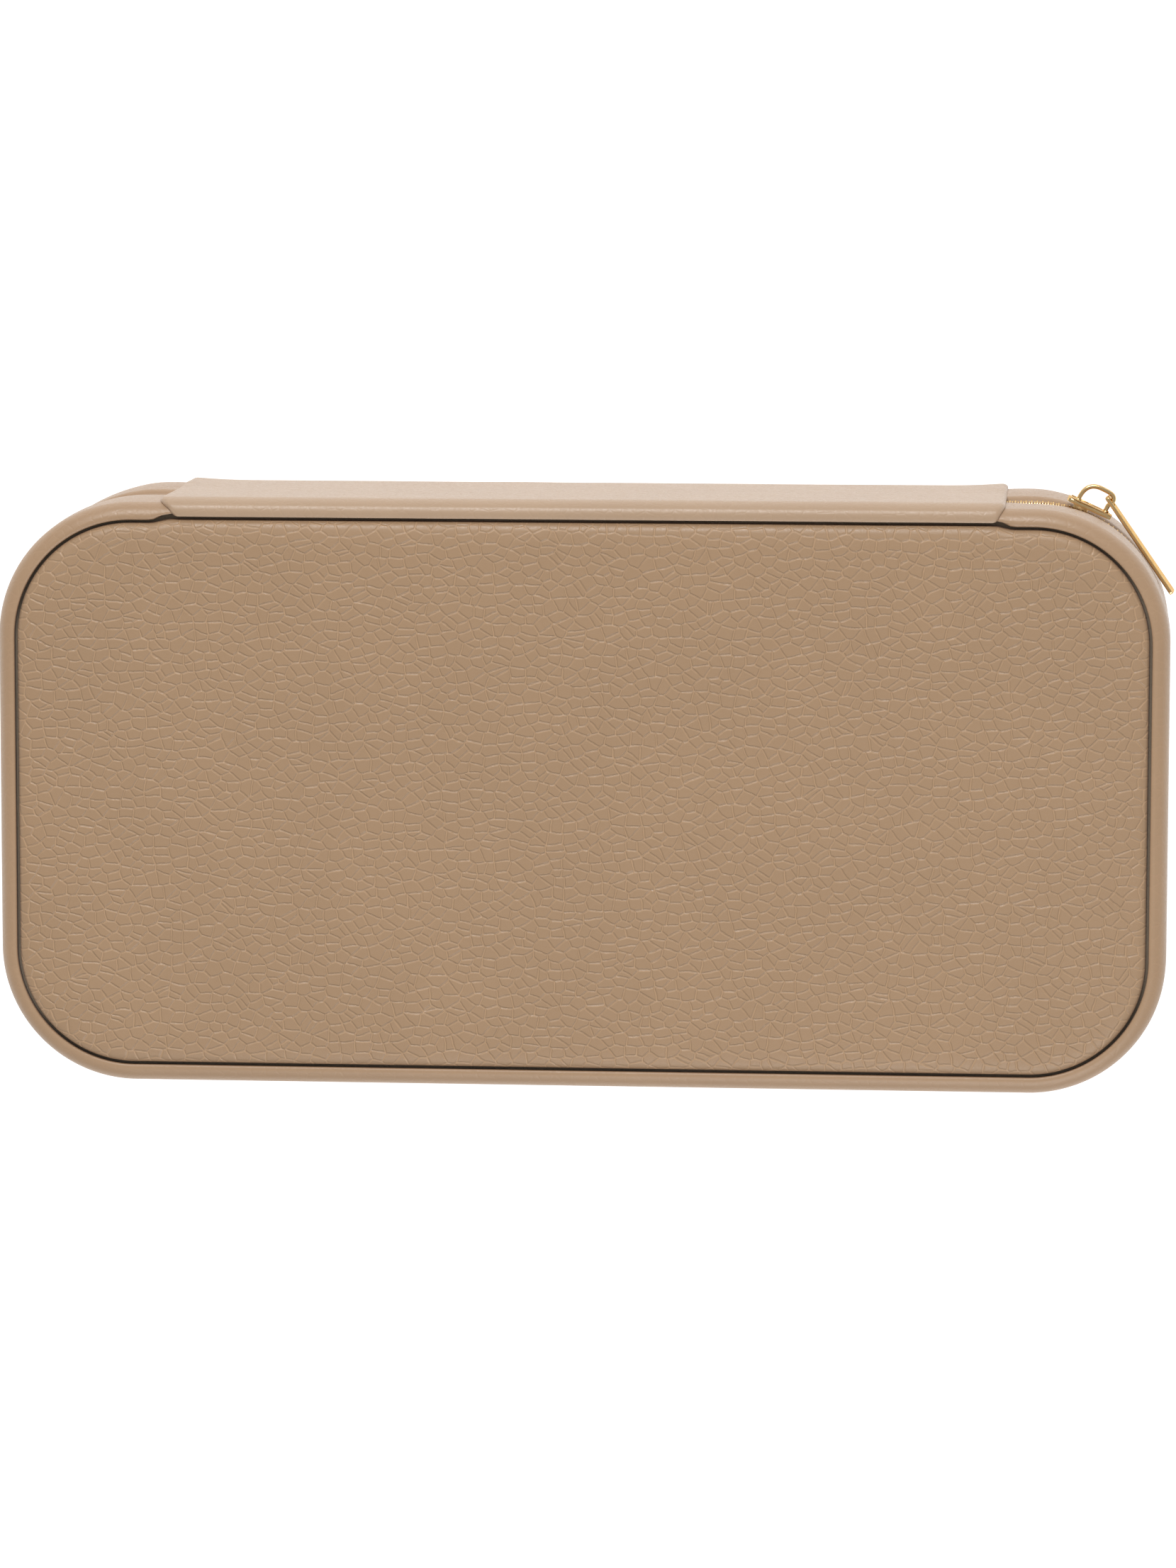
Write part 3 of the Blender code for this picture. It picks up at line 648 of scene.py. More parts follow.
def panel(word, lid):
    """The padded face: rounded into the groove, full in the middle."""
    points, normals = outline(1.0 * MM)
    bulge = strip_bulge(points) * 0.8 * MM
    proud = LID_PROUD if lid else 0.0

    def drop(e):
        """How far the face lies below the case's outermost plane at a distance from its edge."""
        edge = PANEL_ROLL * rolled(e / PANEL_ROLL) * 1.05
        sunk = 0.40 * MM * math.exp(-e / (5 * MM)) + 0.34 * MM * math.exp(-e / (1.5 * MM))
        return edge + sunk - proud * (1 - math.exp(-e / (1.4 * MM)))

    insets = np.array([0, 0.03, 0.12, 0.28, 0.5, 0.8, 1.2, 1.6, 2.0, 2.6, 3.4, 4.4, 5.6, 7.0, 8.6]) * MM
    depths = PANEL_EDGE + np.concatenate([[2.2 * MM, 0.1 * MM], insets])
    heights = [PANEL_DEPTH, PANEL_DEPTH] + [drop(e) for e in insets]
    rows = list(ring_grid(depths, heights, lid, points, normals, bulge).transpose(1, 0, 2))
    for share, flat, way in towards_middle(rows[-1][:, :2], 26):
        low = np.array([drop(e) for e in insets[-1] + share * way])
        rows.append(np.column_stack([flat, (HEIGHT - low) if lid else low]))
    grid = np.array(rows)
    for row in grid[8:]:
        for p in row:
            swell = 0.10 * MM * ripple(p, 26 * MM, 3.0) + 0.04 * MM * ripple(p, 9 * MM, 7.0)
            p[2] += (swell - 0.10 * MM) if lid else max(-swell + 0.10 * MM, 0.0) * 0.4
    obj = loft(word + "_padded_panel", grid, close_columns=True)
    shape = bmesh.new()
    shape.from_mesh(obj.data)
    open_edges = [e for e in shape.edges if e.is_boundary]
    bmesh.ops.holes_fill(shape, edges=open_edges, sides=0)
    bmesh.ops.recalc_face_normals(shape, faces=shape.faces)
    shape.to_mesh(obj.data)
    shape.free()
    smooth(obj.data)
    place = positions(obj)
    # The groove attribute marks where the colour is darkened as painted shade.
    mark(obj, "groove", groove_painted_shade(place, lid))
    mark(obj, "grain", 0.55 + 0.45 * ramp(edge_distance(place), 5.2, 3))
    return dress(obj, "panel_leather", word, [word + "_panel"], "panel_edge_leather")


def swept(name, path, section, upright=(0, 0, 1)):
    """Carries a closed section of (sideways, upright) points along a path of 3-D points."""
    path = np.asarray(path, float)
    ahead = np.gradient(path, axis=0)
    ahead /= np.linalg.norm(ahead, axis=1)[:, None]
    rise = np.broadcast_to(np.asarray(upright, float), ahead.shape)
    rise = rise - ahead * (rise * ahead).sum(1)[:, None]
    rise /= np.linalg.norm(rise, axis=1)[:, None]
    side = np.cross(ahead, rise)
    section = np.asarray(section, float)
    grid = path[:, None, :] + side[:, None, :] * section[None, :, :1]
    grid = grid + rise[:, None, :] * section[None, :, 1:]
    return tube(name, grid)


def round_section(width, height, radius, steps=3):
    """A rounded rectangle round the origin, as (sideways, upright) points."""
    points = []
    for quarter, (sx, sy) in enumerate(((1, 1), (-1, 1), (-1, -1), (1, -1))):
        for step in range(steps + 1):
            turn = math.radians(90 * (quarter + step / steps))
            points.append((sx * (width / 2 - radius) + radius * math.cos(turn),
                           sy * (height / 2 - radius) + radius * math.sin(turn)))
    return points


def curve_through(points, count):
    """A smooth line through points, with evenly spaced steps."""
    points = [np.asarray(p, float) for p in points]
    points = [2 * points[0] - points[1], *points, 2 * points[-1] - points[-2]]
    line = []
    for a, b, c, d in zip(points, points[1:], points[2:], points[3:]):
        for t in np.linspace(0, 1, 24, endpoint=False):
            line.append(0.5 * (2 * b + (c - a) * t + (2 * a - 5 * b + 4 * c - d) * t ** 2
                               + (3 * b - a - 3 * c + d) * t ** 3))
    line.append(points[-2])
    line = np.array(line)
    run = np.concatenate([[0], np.cumsum(np.linalg.norm(np.diff(line, axis=0), axis=1))])
    even = np.linspace(0, run[-1], count)
    return np.stack([np.interp(even, run, line[:, axis]) for axis in range(line.shape[1])], 1)


# -------------------------------------------------------------------------------- spine strip

def spine_strip():
    """One strip over both rims and the joint. Its ends are turned under, and slant on the rims."""
    rim_z = RIM_Z + RIM_RADIUS
    inside = RIM_RADIUS - STRIP_PROUD
    thick = 1.1 * MM
    section = [(inside + 0.12 * MM - thick, 3.0 * MM, 1, 0), (inside + 0.12 * MM - thick, 2.2 * MM, 1, 0)]
    for turn in np.radians(np.linspace(60, 0, 12)):
        n = (-math.cos(turn), -math.sin(turn))
        section.append((inside - (inside + 0.1 * MM) * math.cos(turn),
                        rim_z - (rim_z - 0.35 * MM - thick) * math.sin(turn), *n))
    section += [(-0.1 * MM, z, -1, 0) for z in np.linspace(rim_z + 1 * MM, PARTING, 24)]
    half = np.array(section)
    half[1, 2:] = (0.92, -0.39)
    crown = np.array([(inside - 0.45 * MM, 1.55 * MM, 0.75, -0.66),
                      (inside - 0.85 * MM, 1.52 * MM, 0.35, -0.94)])
    half = np.concatenate([half[:2], crown, half[2:]])
    other = half[::-1][1:].copy()
    other[:, 1] = 2 * PARTING - other[:, 1]
    other[:, 3] *= -1
    full = np.concatenate([half, other])
    far = np.minimum(full[:, 1], 2 * PARTING - full[:, 1])
    slant = np.clip((full[:, 0] + 0.2 * MM) / (inside - 0.2 * MM), 0, 1) * (far < rim_z)
    at_end = np.array([0, 0.03, 0.1, 0.22, 0.4, 0.65, 1.0, 1.6, 2.6, 4.5]) * MM
    across = np.concatenate([1 - at_end / STRIP_HALF, np.linspace(0.93, 0, 60)])
    across = np.concatenate([across, -across[::-1][1:]])
    outer = np.zeros((len(full), len(across), 3))
    inner = np.zeros_like(outer)
    for i, (depth, z, nd, nz) in enumerate(full):
        for j, place in enumerate(across):
            back, rounding = LEFT_END if place < 0 else RIGHT_END
            end = STRIP_HALF - back * slant[i]
            x = place * end
            swell = thick * (1 - 0.85 * rolled(max(end - abs(x), 0.0) / rounding))
            wander = 0.05 * MM * ripple((x, z, 0.0), 14 * MM, 5.0)
            out = end_swell(x, z) * (1 - ramp(depth, 0, 3)) * ramp(EDGE_Z - z, 0, 9)
            inner[i, j] = x, HALF_Y - depth + out, z
            outer[i, j] = inner[i, j] + (swell + wander) * np.array((0, -nd, nz))
    rows, columns = outer.shape[:2]
    points = np.concatenate([outer.reshape(-1, 3), inner.reshape(-1, 3)])
    shift = rows * columns
    faces = grid_faces(rows, columns)
    faces += [tuple(i + shift for i in face[::-1]) for face in faces]
    edge = [(r, 0) for r in range(rows)] + [(rows - 1, c) for c in range(1, columns)]
    edge += [(r, columns - 1) for r in range(rows - 2, -1, -1)]
    edge += [(0, c) for c in range(columns - 2, 0, -1)]
    ring = [r * columns + c for r, c in edge]
    for a, b in zip(ring, ring[1:] + ring[:1]):
        faces.append((a, b, b + shift, a + shift))
    obj = face_outwards(mesh_object("spine_strip", points, faces))
    place = positions(obj)
    depth = HALF_Y - place[:, 1]
    low = np.minimum(place[:, 2], HEIGHT - place[:, 2])
    mark(obj, "grain", 0.2 + 0.8 * ramp(low, 3, 3.5))
    # The strip's tuck into the groove is also marked for painted shade.
    mark(obj, "groove", ramp(depth, 2.3, 0.4) * ramp(low, 1, 0.8))
    dress(obj, "spine_leather", None, ["hinge_strip_base", "hinge_strip_lid"])
    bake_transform(obj)


def spine_lining():
    """Velvet over the joint on the inside, bowed towards the strip so that it has slack to open."""
    low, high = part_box("hinge_lining")
    bottom = low[2] - 1.6 * MM
    top = 2 * PARTING - bottom
    rows = []
    for side in (0, 1):
        row = []
        for t in np.linspace(0, 1, 21):
            bow = 2.9 * MM * math.sin(math.pi * t)
            row.append((low[1] + bow + side * 0.5 * MM, bottom + (top - bottom) * t))
        rows.append(row if side == 0 else row[::-1])
    section = np.array(rows[0] + rows[1])
    grid = []
    for x in np.linspace(low[0], high[0], 130):
        wave = np.array([0.12 * MM * ripple((x, y, z), 8 * MM) for y, z in section])
        grid.append(np.column_stack([np.full(len(section), x), section[:, 0] + wave, section[:, 1]]))
    obj = tube("spine_lining", grid)
    dress(obj, "velvet", None, ["hinge_lining"])
    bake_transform(obj)


# ---------------------------------------------------------------------------------------- zip

TEETH_PITCH = 1.18 * MM
TOOTH_WIDE = 0.47 * MM
OVERLAP = 0.42 * MM
# The chain sinks in at the strip's left end, where it is folded under: by how much, over what length.
TEETH_SINK = 0.8 * MM
SINK_RUN = 22 * MM


def zip_spans():
    """Start and end along the outline of each stretch of teeth: base, lid and the open end."""
    start = line_length("left strip end")
    to_strip = line_length(90.0) + ARC_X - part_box("zip_end_coil")[0][0]
    return {"base": (start, to_strip), "lid": (start, line_length(50.0)),
            "end": (line_length(51.5), to_strip)}


def tape(name, body, node, start, end, lid, foot):
    """A woven tape with a thicker bead along the edge that carries the teeth."""
    points, normals = outline(1.2 * MM, start, end)
    edge = PARTING - 0.45 * MM
    inner = TAPE_D - 0.05 * MM
    section = [(inner, foot), (inner, edge - 0.9 * MM), (inner - 0.28 * MM, edge - 0.55 * MM),
               (inner - 0.28 * MM, edge - 0.1 * MM), (inner, edge), (inner + 0.45 * MM, edge),
               (inner + 0.5 * MM, edge - 0.4 * MM), (inner + 0.5 * MM, foot)]
    section = np.array(section)
    grid = ring_grid(section[:, 0], section[:, 1], lid, points, normals)
    obj = tube(name, grid)
    return dress(obj, "zip_tape", body, [node])


def teeth(name, body, node, start, end, lid):
    """Bent metal-coated coils: a bar over the tape's edge, with its head between the facing ones."""
    places = np.arange(start + (0.5 * TEETH_PITCH if lid else 0), end, TEETH_PITCH)
    back = PARTING - 2.15 * MM
    head = PARTING + OVERLAP
    outer = 0.25 * MM
    inner = TAPE_D - 0.1 * MM
    middle = (outer + inner) / 2
    deep = (inner - outer) / 2
    rings = []
    corner = ((1, 0.45), (0.6, 1), (-0.6, 1), (-1, 0.45), (-1, -0.45), (-0.6, -1), (0.6, -1), (1, -0.45))
    for share, wide, thick in ((0.0, 0.35, 0.45), (0.06, 0.8, 0.85), (0.2, 0.95, 1.0), (0.55, 0.9, 0.95),
                               (0.74, 1.15, 0.95), (0.9, 1.1, 0.8), (1.0, 0.6, 0.4)):
        z = back + (head - back) * share
        rings.append([(w * wide * TOOTH_WIDE / 2, middle + d * thick * deep, z) for w, d in corner])
    shape = np.array(rings)
    rows, columns = shape.shape[:2]
    base_faces = grid_faces(rows, columns, close_columns=True)
    base_faces += [tuple(range(columns))[::-1], tuple(range((rows - 1) * columns, rows * columns))]
    flat = shape.reshape(-1, 3)
    points, faces = [], []
    first = zip_spans()["base"][0]
    for number, (point, normal) in enumerate(zip(*outline_at(places))):
        along = np.array([-normal[1], normal[0]])
        sunk = TEETH_SINK * max(0.0, 1 - (places[number] - first) / SINK_RUN) ** 0.5
        xy = point + along * flat[:, :1] - normal * (flat[:, 1:2] + sunk)
        z = flat[:, 2]
        points.append(np.column_stack([xy, 2 * PARTING - z if lid else z]))
        shift = number * len(flat)
        faces += [tuple(i + shift for i in face) for face in base_faces]
    obj = face_outwards(mesh_object(name, np.concatenate(points), faces))
    return dress(obj, "zip_teeth", body, [node])


def outline_at(places):
    """Points and normals of the outline at given lengths along it."""
    fine_points, fine_normals = outline(0.1 * MM)
    whole = outline_total()
    index = np.round((np.asarray(places) % whole) / whole * len(fine_points)).astype(int)
    index %= len(fine_points)
    return fine_points[index], fine_normals[index]


def outline_total():
    return 4 * (HALF_Y - CORNER) + 4 * (HALF_X - CORNER) + 2 * math.pi * CORNER


def zip_chain():
    spans = zip_spans()
    chain_end = line_length(90.0) + ARC_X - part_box("zip_end_tape")[0][0]
    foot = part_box("zip_tape_base")[0][2]
    end_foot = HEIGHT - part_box("zip_end_tape")[1][2]
    tape("zip_tape_lower", "base", "zip_tape_base", spans["base"][0], chain_end, False, foot)
    tape("zip_tape_upper", "lid", "zip_tape_lid", *spans["lid"], True, foot)
    tape("zip_tape_open_end", "base", "zip_end_tape", spans["end"][0], chain_end, True, end_foot)
    teeth("zip_teeth_lower", "base", "zip_coil_base", *spans["base"], False)
    teeth("zip_teeth_upper", "lid", "zip_coil_lid", *spans["lid"], True)
    teeth("zip_teeth_open_end", "base", "zip_end_coil", *spans["end"], True)
    for word in ("top", "bottom"):
        stop(word)


def stop(word):
    """A bent metal clip over the last teeth."""
    node = f"zip_{word}_stop"
    low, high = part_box(node)
    middle = [(a + b) / 2 for a, b in zip(low, high)]
    bpy.ops.mesh.primitive_cube_add(size=1, location=middle)
    obj = bpy.context.object
    obj.name = f"zip_{word}_clip"
    obj.scale = [b - a for a, b in zip(low, high)]
    bpy.ops.object.transform_apply(location=False, rotation=False, scale=True)
    bevel = obj.modifiers.new("edges", "BEVEL")
    bevel.width = 0.35 * MM
    bevel.segments = 4
    smooth(obj.data)
    return dress(obj, "gold_metal", "base", [node])


# ------------------------------------------------------------------------------------- slider

PIVOT_X, PIVOT_Y = joint("pull_swing")["pos_m"][:2]
# The pull hangs from its pin with its flat side up, a little off upright and turned to the photo's way.
PULL_TILT = math.radians(95.5)
PULL_TURN = math.radians(-55.3)
PULL_HALF_THICK = 0.4 * MM


def at_slider(t, u):
    """The x and y of a point by the slider: t runs along the zip to the strip and u outwards."""
    x = ARC_X - t * math.sin(SLIDER_TURN) + u * math.cos(SLIDER_TURN)
    y = ARC_Y + t * math.cos(SLIDER_TURN) + u * math.sin(SLIDER_TURN)
    return x, y


def slider_world(points):
    """Turns points given as t, height and u, in millimetres, into the row frame."""
    placed = []
    for t, v, u in points:
        x, y = at_slider(t * MM, u * MM)
        placed.append((x, y, PARTING + v * MM))
    return placed


def slider_plate(name, profile, top, thick, crown, flare=0.0):
    """A plate with rounded edges. profile gives its half width at places along the zip."""
    across = np.sin(np.linspace(-1, 1, 15) * math.pi / 2)
    rows = []
    for t, half in profile:
        lift = flare * max(0.0, (t - 2.0) / 3.4) ** 2
        upper = [(t, half * a, top - crown * a * a + lift - 0.18 * (abs(a) > 0.999)) for a in across]
        lower = [(t, half * a * 0.97, top - thick - crown * 0.4 * a * a + lift) for a in across[::-1]]
        rows.append(upper + lower)
    grid = np.array([slider_world(row) for row in rows])
    return tube(name, grid, angle=35)


def rounded_ends(half_at, start, end, radius=0.5):
    """Places along a plate with its half widths, drawn in at both ends."""
    places = [start, start + 0.06, start + 0.2, start + radius]
    places += list(np.linspace(start + radius, end - radius, 18)[1:-1])
    places += [end - radius, end - 0.2, end - 0.06, end]
    profile = []
    for t in places:
        left = min(t - start, end - t)
        profile.append((t, half_at(t) - radius * rolled(left / radius)))
    return profile


def slider():
    """Two plates with a post between them. The mouth's corners stand off, and a lug holds the bail."""
    def outer_half(t):
        share = min(max((t - 0.2) / 3.2, 0), 1)
        return 2.95 + 0.85 * share * share * (3 - 2 * share)

    def inner_half(t):
        return 2.15 + 0.3 * min(max((t + 4) / 3, 0), 1)

    top = slider_plate("slider_top_plate", rounded_ends(outer_half, -4.6, 5.5, 0.9), 30.42, 0.95, 0.25, 0.12)
    under = slider_plate("slider_inner_plate", rounded_ends(inner_half, -4.6, 4.4, 0.8), 25.4, 0.8, 0.0)
    posts = [tube("slider_post", np.array([slider_world(
        [(x, v, u) for x, v in ((0.7, -0.25), (3.5, -0.25), (3.8, 0), (3.5, 0.25), (0.7, 0.25), (0.5, 0))])
        for u in (25.0, 30.0)]))]
    for start, end, half in ((2.5, 4.1, 1.0), (-3.75, -2.35, 1.0)):
        rows = []
        for u, grow in ((30.0, 1.0), (30.5, 1.0), (30.75, 0.9), (30.82, 0.7)):
            middle, reach = (start + end) / 2, (end - start) / 2 * grow
            ring = [(middle + reach * math.cos(a), half * grow * math.sin(a), u)
                    for a in np.linspace(0, 2 * math.pi, 20, endpoint=False)]
            rows.append(slider_world(ring))
        posts.append(tube("slider_lug", rows))
    rim = []
    for side in (-1, 1):
        line = curve_through([(-4.2, side * 2.55, 30.2), (-2.0, side * 2.75, 30.35), (0.4, side * 2.8, 30.38),
                              (2.6, side * 3.35, 30.4), (4.9, side * 3.45, 30.45)], 30)
        line = np.array(slider_world(line))
        outwards = (math.cos(SLIDER_TURN), math.sin(SLIDER_TURN), 0)
        rim.append(swept("slider_edge", line, round_section(0.5 * MM, 0.32 * MM, 0.15 * MM), outwards))
    pieces = [top, under, *posts, *rim]
    for obj in pieces:
        dress(obj, "gold_metal", "slider")
    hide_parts("slider_body")
    line = curve_through([(3.3, 30.3), (3.3, 31.4), (3.05, 32.6), (2.5, 33.6), (1.6, 34.3), (0.4, 34.62),
                          (-1.0, 34.62), (-2.3, 34.5), (-3.2, 34.15), (-3.6, 33.4), (-3.4, 32.6),
                          (-3.02, 31.9), (-2.95, 31.1), (-2.95, 30.3)], 90)
    path = np.array(slider_world([(t, 0, u) for t, u in line]))
    bail = swept("slider_bridge", path, round_section(0.92 * MM, 1.75 * MM, 0.38 * MM, 4))
    dress(bail, "gold_metal", "slider", ["slider_bail"])


def pull():
    """The flat pull: softly rounded edges and an eye at its head."""
    half = 2.5 * MM
    long = 24.6 * MM
    edge = 0.16 * MM

    def ring(corners, radius):
        points = []
        count = len(corners)
        for i, corner in enumerate(corners):
            corner = Vector(corner)
            before, after = Vector(corners[i - 1]) - corner, Vector(corners[(i + 1) % count]) - corner
            a, b = corner + before.normalized() * radius, corner + after.normalized() * radius
            for t in np.linspace(0, 1, 6):
                points.append(a * (1 - t) ** 2 + corner * 2 * t * (1 - t) + b * t * t)
        return points

    data = bpy.data.curves.new("pull", "CURVE")
    data.dimensions = "2D"
    data.fill_mode = "BOTH"
    outer = ring([(-0.5 * MM, -1.9 * MM), (long, -half), (long, half), (-0.5 * MM, 1.9 * MM)], 0.7 * MM)
    slot_points = ring([(0.35 * MM, -1.1 * MM), (0.35 * MM, 1.1 * MM), (2.05 * MM, 1.1 * MM),
                        (2.05 * MM, -1.1 * MM)], 0.35 * MM)
    for points in (outer, slot_points):
        spline = data.splines.new("POLY")
        spline.points.add(len(points) - 1)
        for target, place in zip(spline.points, points):
            target.co = (*place, 0, 1)
        spline.use_cyclic_u = True
    data.extrude = PULL_HALF_THICK - edge
    data.bevel_depth = edge
    data.bevel_resolution = 3
    data.offset = -edge
    curve = linked("pull", data)
    curve.location = (PIVOT_X, PIVOT_Y, PARTING)
    curve.rotation_euler = (PULL_TILT, 0, PULL_TURN)
    bpy.context.view_layer.update()
    mesh = bpy.data.meshes.new_from_object(curve.evaluated_get(bpy.context.evaluated_depsgraph_get()))
    mesh.transform(curve.matrix_world)
    bpy.data.objects.remove(curve)
    obj = face_outwards(linked("pull_tab", mesh))
    smooth(obj.data, 40)
    dress(obj, "gold_metal", "pull", ["zip_pull"])


# --------------------------------------------------------------------------------- the inside

def lining(word, lid):
    """A velvet tray: soft in its corner, with a rolled upper edge and a slightly padded floor."""
    points, normals = outline(1.6 * MM)
    floor = LINING_LOW + 0.8 * MM
    wall_in = LINING_D + 0.8 * MM
    section = [(LINING_D, LINING_HIGH - 0.6 * MM), (LINING_D + 0.12 * MM, LINING_HIGH - 0.12 * MM),
               (LINING_D + 0.4 * MM, LINING_HIGH), (wall_in - 0.12 * MM, LINING_HIGH - 0.12 * MM),
               (wall_in, LINING_HIGH - 0.6 * MM)]
    section += [(wall_in, z) for z in np.linspace(LINING_HIGH - 2 * MM, floor + 2.2 * MM, 14)]
    section += [(wall_in + 2.2 * MM * (1 - math.cos(t)), floor + 2.2 * MM * (1 - math.sin(t)))
                for t in np.radians(np.linspace(0, 90, 8))]
    rows = [ring_grid([d], [z], lid, points, normals)[:, 0] for d, z in section]
    for _, flat, _ in towards_middle(rows[-1][:, :2], 30):
        rows.append(np.column_stack([flat, np.full(len(flat), HEIGHT - floor if lid else floor)]))
    grid = np.array(rows)
    for row in grid[5:19]:
        for i, p in enumerate(row):
            push = 0.16 * MM * ripple(p, 16 * MM, 2.0) - 0.05 * MM
            p[:2] -= normals[i] * push
    for row in grid[22:]:
        for p in row:
            lift = 0.14 * MM * (1 + ripple(p, 18 * MM, 4.0))
            p[2] += -lift if lid else lift
    shell = loft(word + "_velvet_lining", grid, close_columns=True)
    dress(shell, "velvet", word, [word + "_lining"])


def soft_bar(name, low, high, radius, along, stands_for, wrinkle=0.10 * MM, dome=None,
             end_round=0.9 * MM):
    """A padded bar between two corners, with round upper edges and slightly drawn-in ends."""
    low, high = np.array(low, float), np.array(high, float)
    cross = 1 - along
    wide = high[cross] - low[cross]
    tall = high[2] - low[2]
    middle = (low[cross] + high[cross]) / 2
    foot = 0.3 * MM
    dome = radius if dome is None else dome
    section = [(wide / 2 - foot + foot * math.cos(t), low[2] + foot + foot * math.sin(t))
               for t in np.radians(np.linspace(-90, 0, 3))]
    section += [(wide / 2, z) for z in np.linspace(low[2] + foot, high[2] - dome, 8)[1:-1]]
    section += [(wide / 2 - radius + radius * math.cos(t), high[2] - dome + dome * math.sin(t))
                for t in np.radians(np.linspace(0, 90, 9))]
    mirrored = [(-a, b) for a, b in section[::-1]]
    if abs(section[-1][0]) < 1e-7:
        mirrored = mirrored[1:]
    section = np.array(section + mirrored)
    length = high[along] - low[along]
    reach = min(length / 2, end_round)
    ends = reach * np.array([0, 0.04, 0.14, 0.32, 0.6])
    inner = np.linspace(low[along] + reach, high[along] - reach, max(3, int((length - 2 * reach) / MM)))
    places = np.concatenate([low[along] + ends, inner, high[along] - ends[::-1]])
    rows = []
    centre = low[2] + 0.45 * tall
    for place in places:
        left = min(place - low[along], high[along] - place)
        inset = min(radius, reach) * rolled(left / reach)
        row = []
        for a, z in section:
            a2 = a * (1 - inset / (wide / 2) * 0.9)
            z2 = z - inset * max(0.0, (z - centre) / (high[2] - centre)) * 0.9
            at = (place, a + 3 * middle, z)
            bump = wrinkle * ripple(at, 7 * MM, 1.0)
            a2 += bump * (1 if a > 0 else -1) * (abs(a) > 0.3 * wide)
            z2 += bump * max(0.0, (z - centre) / (high[2] - centre))
            row.append((place, middle + a2, z2) if along == 0 else (middle + a2, place, z2))
        rows.append(row)
    obj = tube(name, rows)
    return dress(obj, "velvet", "base", stands_for)


def numbered(word):
    """The CAD nodes called word_1, word_2 and so on."""
    count = sum(1 for node in frame["nodes"] if node.rpartition("_")[0] == word)
    return [f"{word}_{number}" for number in range(1, count + 1)]


def dividers():
    for node in ("divider_left_cross", "divider_right_cross", "divider_centre", "divider_left",
                 "divider_right_front", "divider_right_rear"):
        low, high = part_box(node)
        along = 0 if high[0] - low[0] > high[1] - low[1] else 1
        soft_bar("velvet_" + node, low, high, 1.15 * MM, along, [node])


def ring_rolls():
    for node in numbered("ring_roll"):
        low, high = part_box(node)
        half = (high[1] - low[1]) / 2
        soft_bar("velvet_" + node, low, high, half - 0.05 * MM, 0, [node], dome=half, wrinkle=0.22 * MM,
                 end_round=2.2 * MM)


def hook_bar():
    """A padded leather bar with a row of stitches along each edge."""
    low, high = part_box("hook_bar")
    radius = 0.9 * MM
    section = round_section(high[1] - low[1], high[2] - low[2], radius, 5)
    rows = []
    ends = np.array([0, 0.15, 0.5]) * MM
    middle = np.linspace(low[0] + 1 * MM, high[0] - 1 * MM, 90)
    for x in np.concatenate([low[0] + ends, middle, high[0] - ends[::-1]]):
        left = min(x - low[0], high[0] - x)
        shrink = 1 - 0.35 * max(0.0, 1 - left / (1 * MM)) ** 2
        rows.append([(x, (low[1] + high[1]) / 2 + a * (0.8 + 0.2 * shrink),
                      (low[2] + high[2]) / 2 + b * shrink) for a, b in section])
    bar = tube("hook_bar_padding", rows)
    dress(bar, "panel_leather", "lid", ["hook_bar"])
    points, faces = [], []
    for y in (low[1] + 1.5 * MM, high[1] - 1.5 * MM):
        for x in np.arange(low[0] + 2 * MM, high[0] - 2 * MM, 2.6 * MM):
            shift = len(points)
            for t, w in ((-0.9, 0.3), (-0.75, 0.8), (0, 1.0), (0.75, 0.8), (0.9, 0.3)):
                z = low[2] - 0.02 * MM + 0.12 * MM * t * t
                points += [(x + t * MM, y + 0.2 * MM * w * math.cos(a), z + 0.14 * MM * w * math.sin(a))
                           for a in np.linspace(0, 2 * math.pi, 6, endpoint=False)]
            faces += [tuple(i + shift for i in f) for f in grid_faces(5, 6, close_columns=True)]
            faces += [tuple(range(shift, shift + 6))[::-1], tuple(range(shift + 24, shift + 30))]
    thread = face_outwards(mesh_object("hook_bar_stitches", points, faces))
    dress(thread, "zip_tape", "lid")


def necklace_hooks():
    """Hooks of round wire with a knob on their tip, each on a round foot."""
    for node in numbered("necklace_hook"):
        low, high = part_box(node)
        x = (low[0] + high[0]) / 2
        wire = 0.62 * MM
        top_y = high[1] - wire
        line = [(x, top_y, high[2] + 0.6 * MM), (x, top_y, (low[2] + high[2]) / 2 + 0.6 * MM)]
        bend = (high[1] - low[1]) / 2 - wire
        middle_y, middle_z = (low[1] + high[1]) / 2, low[2] + bend + wire
        line += [(x, middle_y + bend * math.cos(a), middle_z + bend * math.sin(a))
                 for a in np.radians(np.linspace(0, -190, 12))]
        path = curve_through(line, 60)
        circle = [(wire * math.cos(a), wire * math.sin(a))
                  for a in np.linspace(0, 2 * math.pi, 14, endpoint=False)]
        hook = swept("necklace_hook_wire", path, circle, upright=(1, 0, 0))
        dress(hook, "gold_metal", "lid", [node])
        bpy.ops.mesh.primitive_uv_sphere_add(segments=20, ring_count=12, radius=0.95 * MM, location=path[-1])
        knob = bpy.context.object
        knob.name = "necklace_hook_knob"
        smooth(knob.data)
        dress(knob, "gold_metal", "lid")
        bpy.ops.mesh.primitive_cylinder_add(vertices=28, radius=1.7 * MM, depth=0.5 * MM,
                                            location=(x, top_y, high[2] + 0.05 * MM))
        rose = bpy.context.object
        rose.name = "necklace_hook_rose"
        smooth(rose.data)
        dress(rose, "gold_metal", "lid")


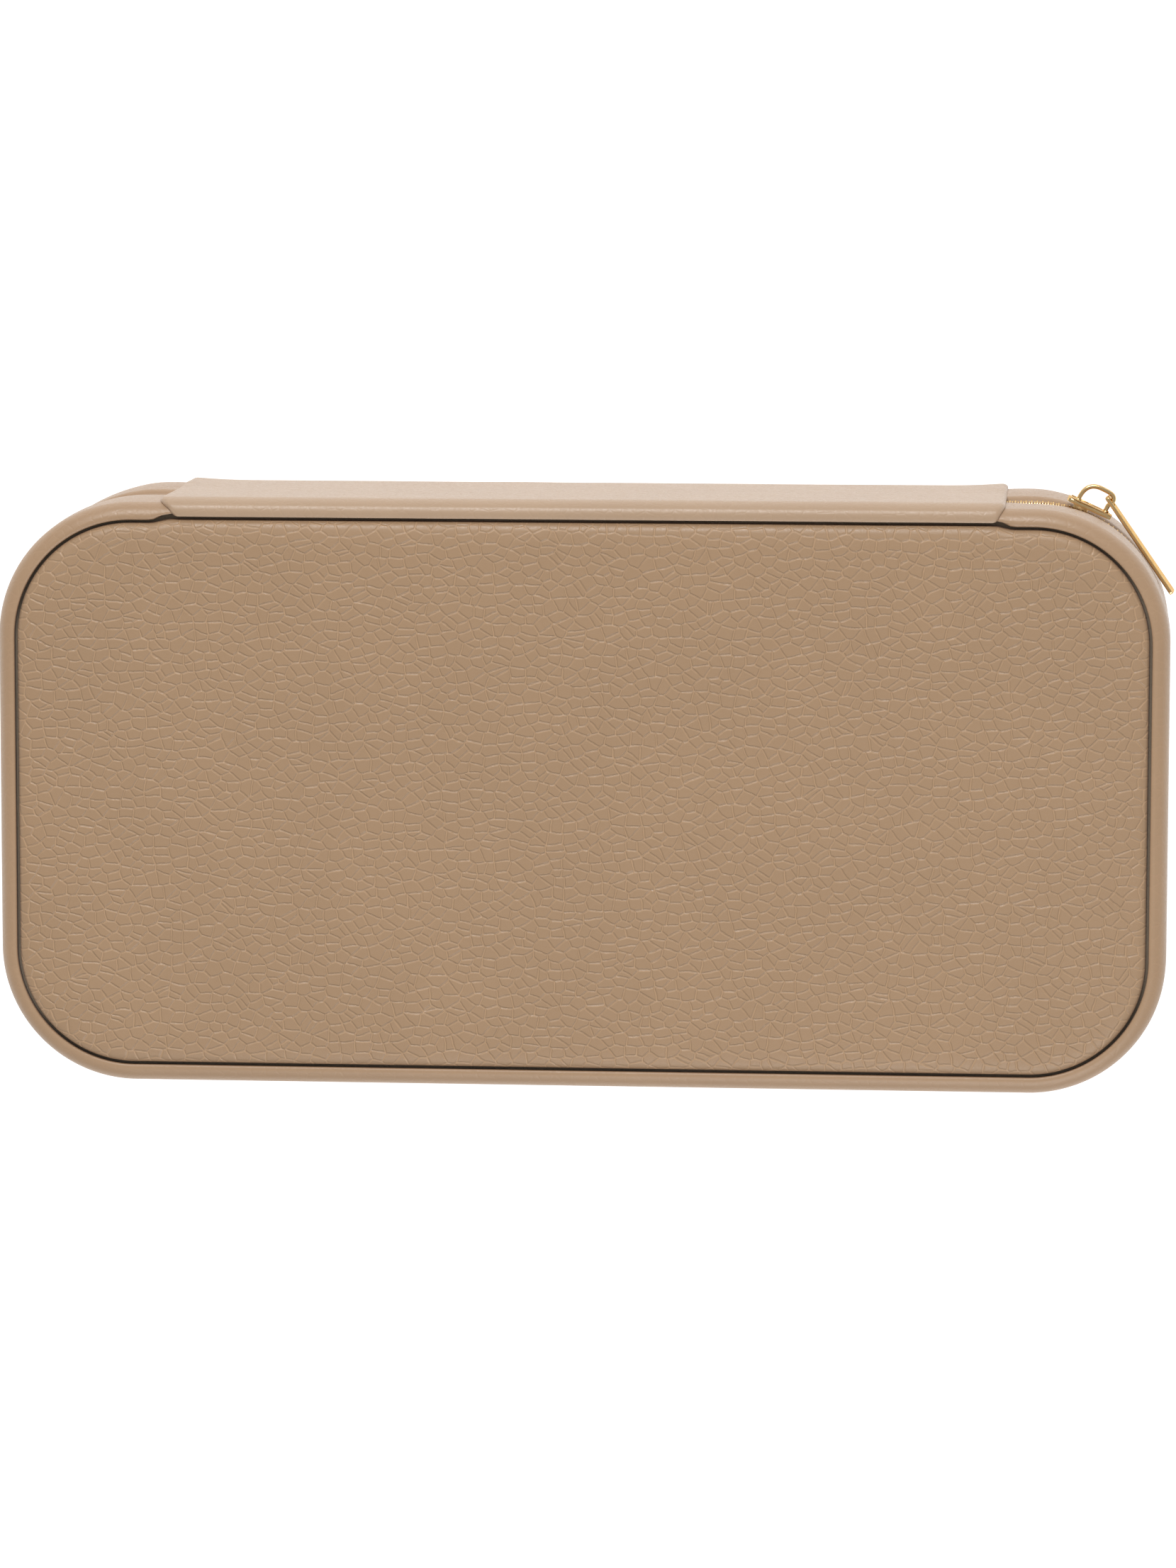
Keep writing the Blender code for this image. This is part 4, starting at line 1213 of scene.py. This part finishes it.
def pocket():
    """Velvet gathered on a band of elastic at its mouth, and sewn down on its other three sides."""
    low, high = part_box("lid_pocket")
    band_low, band_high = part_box("pocket_elastic")
    half = high[0]
    columns, count = 420, 46
    rows = []
    gathers = 34

    def mouth(i):
        """A column's x, a share that falls to 0 at the sides, and the phase of the gathers there."""
        x = -half + 2 * half * i / (columns - 1)
        phase = x / half * gathers * math.pi + 2.2 * ripple((x, 0, 0), 20 * MM, 1.5)
        return x, max(0.0, 1 - abs(x / half) ** 9), phase

    for j in range(count):
        v = j / (count - 1)
        y = low[1] + (high[1] - low[1]) * v
        row = []
        for i in range(columns):
            x, side, phase = mouth(i)
            fall = math.cos(v * math.pi / 2) ** 0.8 if v < 1 else 0.0
            ruffle = (1.6 * math.exp(-v * 2.2) + 0.10) * MM * (0.5 + 0.5 * math.sin(phase)) * side
            sag = 0.9 * MM * (1 + ripple((x, y, 0), 30 * MM, 6.0)) * side
            sag *= math.sin(math.pi * min(1, v * 1.2))
            out = 0.5 * MM + (4.6 * MM * fall * side ** 0.6) + ruffle + sag * 0.5
            row.append((x, y, high[2] - min(out, high[2] - low[2] - 0.3 * MM)))
        rows.append(row)
    cloth = loft("gathered_pocket", np.array(rows))
    thick = cloth.modifiers.new("cloth", "SOLIDIFY")
    thick.thickness = 0.35 * MM
    dress(cloth, "velvet", "lid", ["lid_pocket"])
    ribs = []
    for i in range(columns):
        x, side, phase = mouth(i)
        middle_z = high[2] - 0.5 * MM - (4.8 + 0.40 * math.sin(phase)) * MM * side ** 0.6
        ring_row = [((band_low[1] + band_high[1]) / 2 + a, middle_z + b)
                    for a, b in round_section(1.5 * MM, 2.2 * MM, 0.6 * MM, 3)]
        ribs.append([(x, a, min(b, high[2])) for a, b in ring_row])
    band = tube("pocket_elastic_band", np.array(ribs))
    dress(band, "velvet", "lid", ["pocket_elastic"])


camera()
studio()
for half_word, is_lid in (("base", False), ("lid", True)):
    side_leather(half_word, is_lid)
    panel(half_word, is_lid)
    lining(half_word, is_lid)
spine_strip()
spine_lining()
zip_chain()
slider()
pull()
dividers()
ring_rolls()
hook_bar()
necklace_hooks()
pocket()

for row in frame["record"]["subparts"]:
    node = frame["nodes"][row["node"]]
    node.data.materials.clear()
    node.data.materials.append(LOOKS[row["material_slot"]])
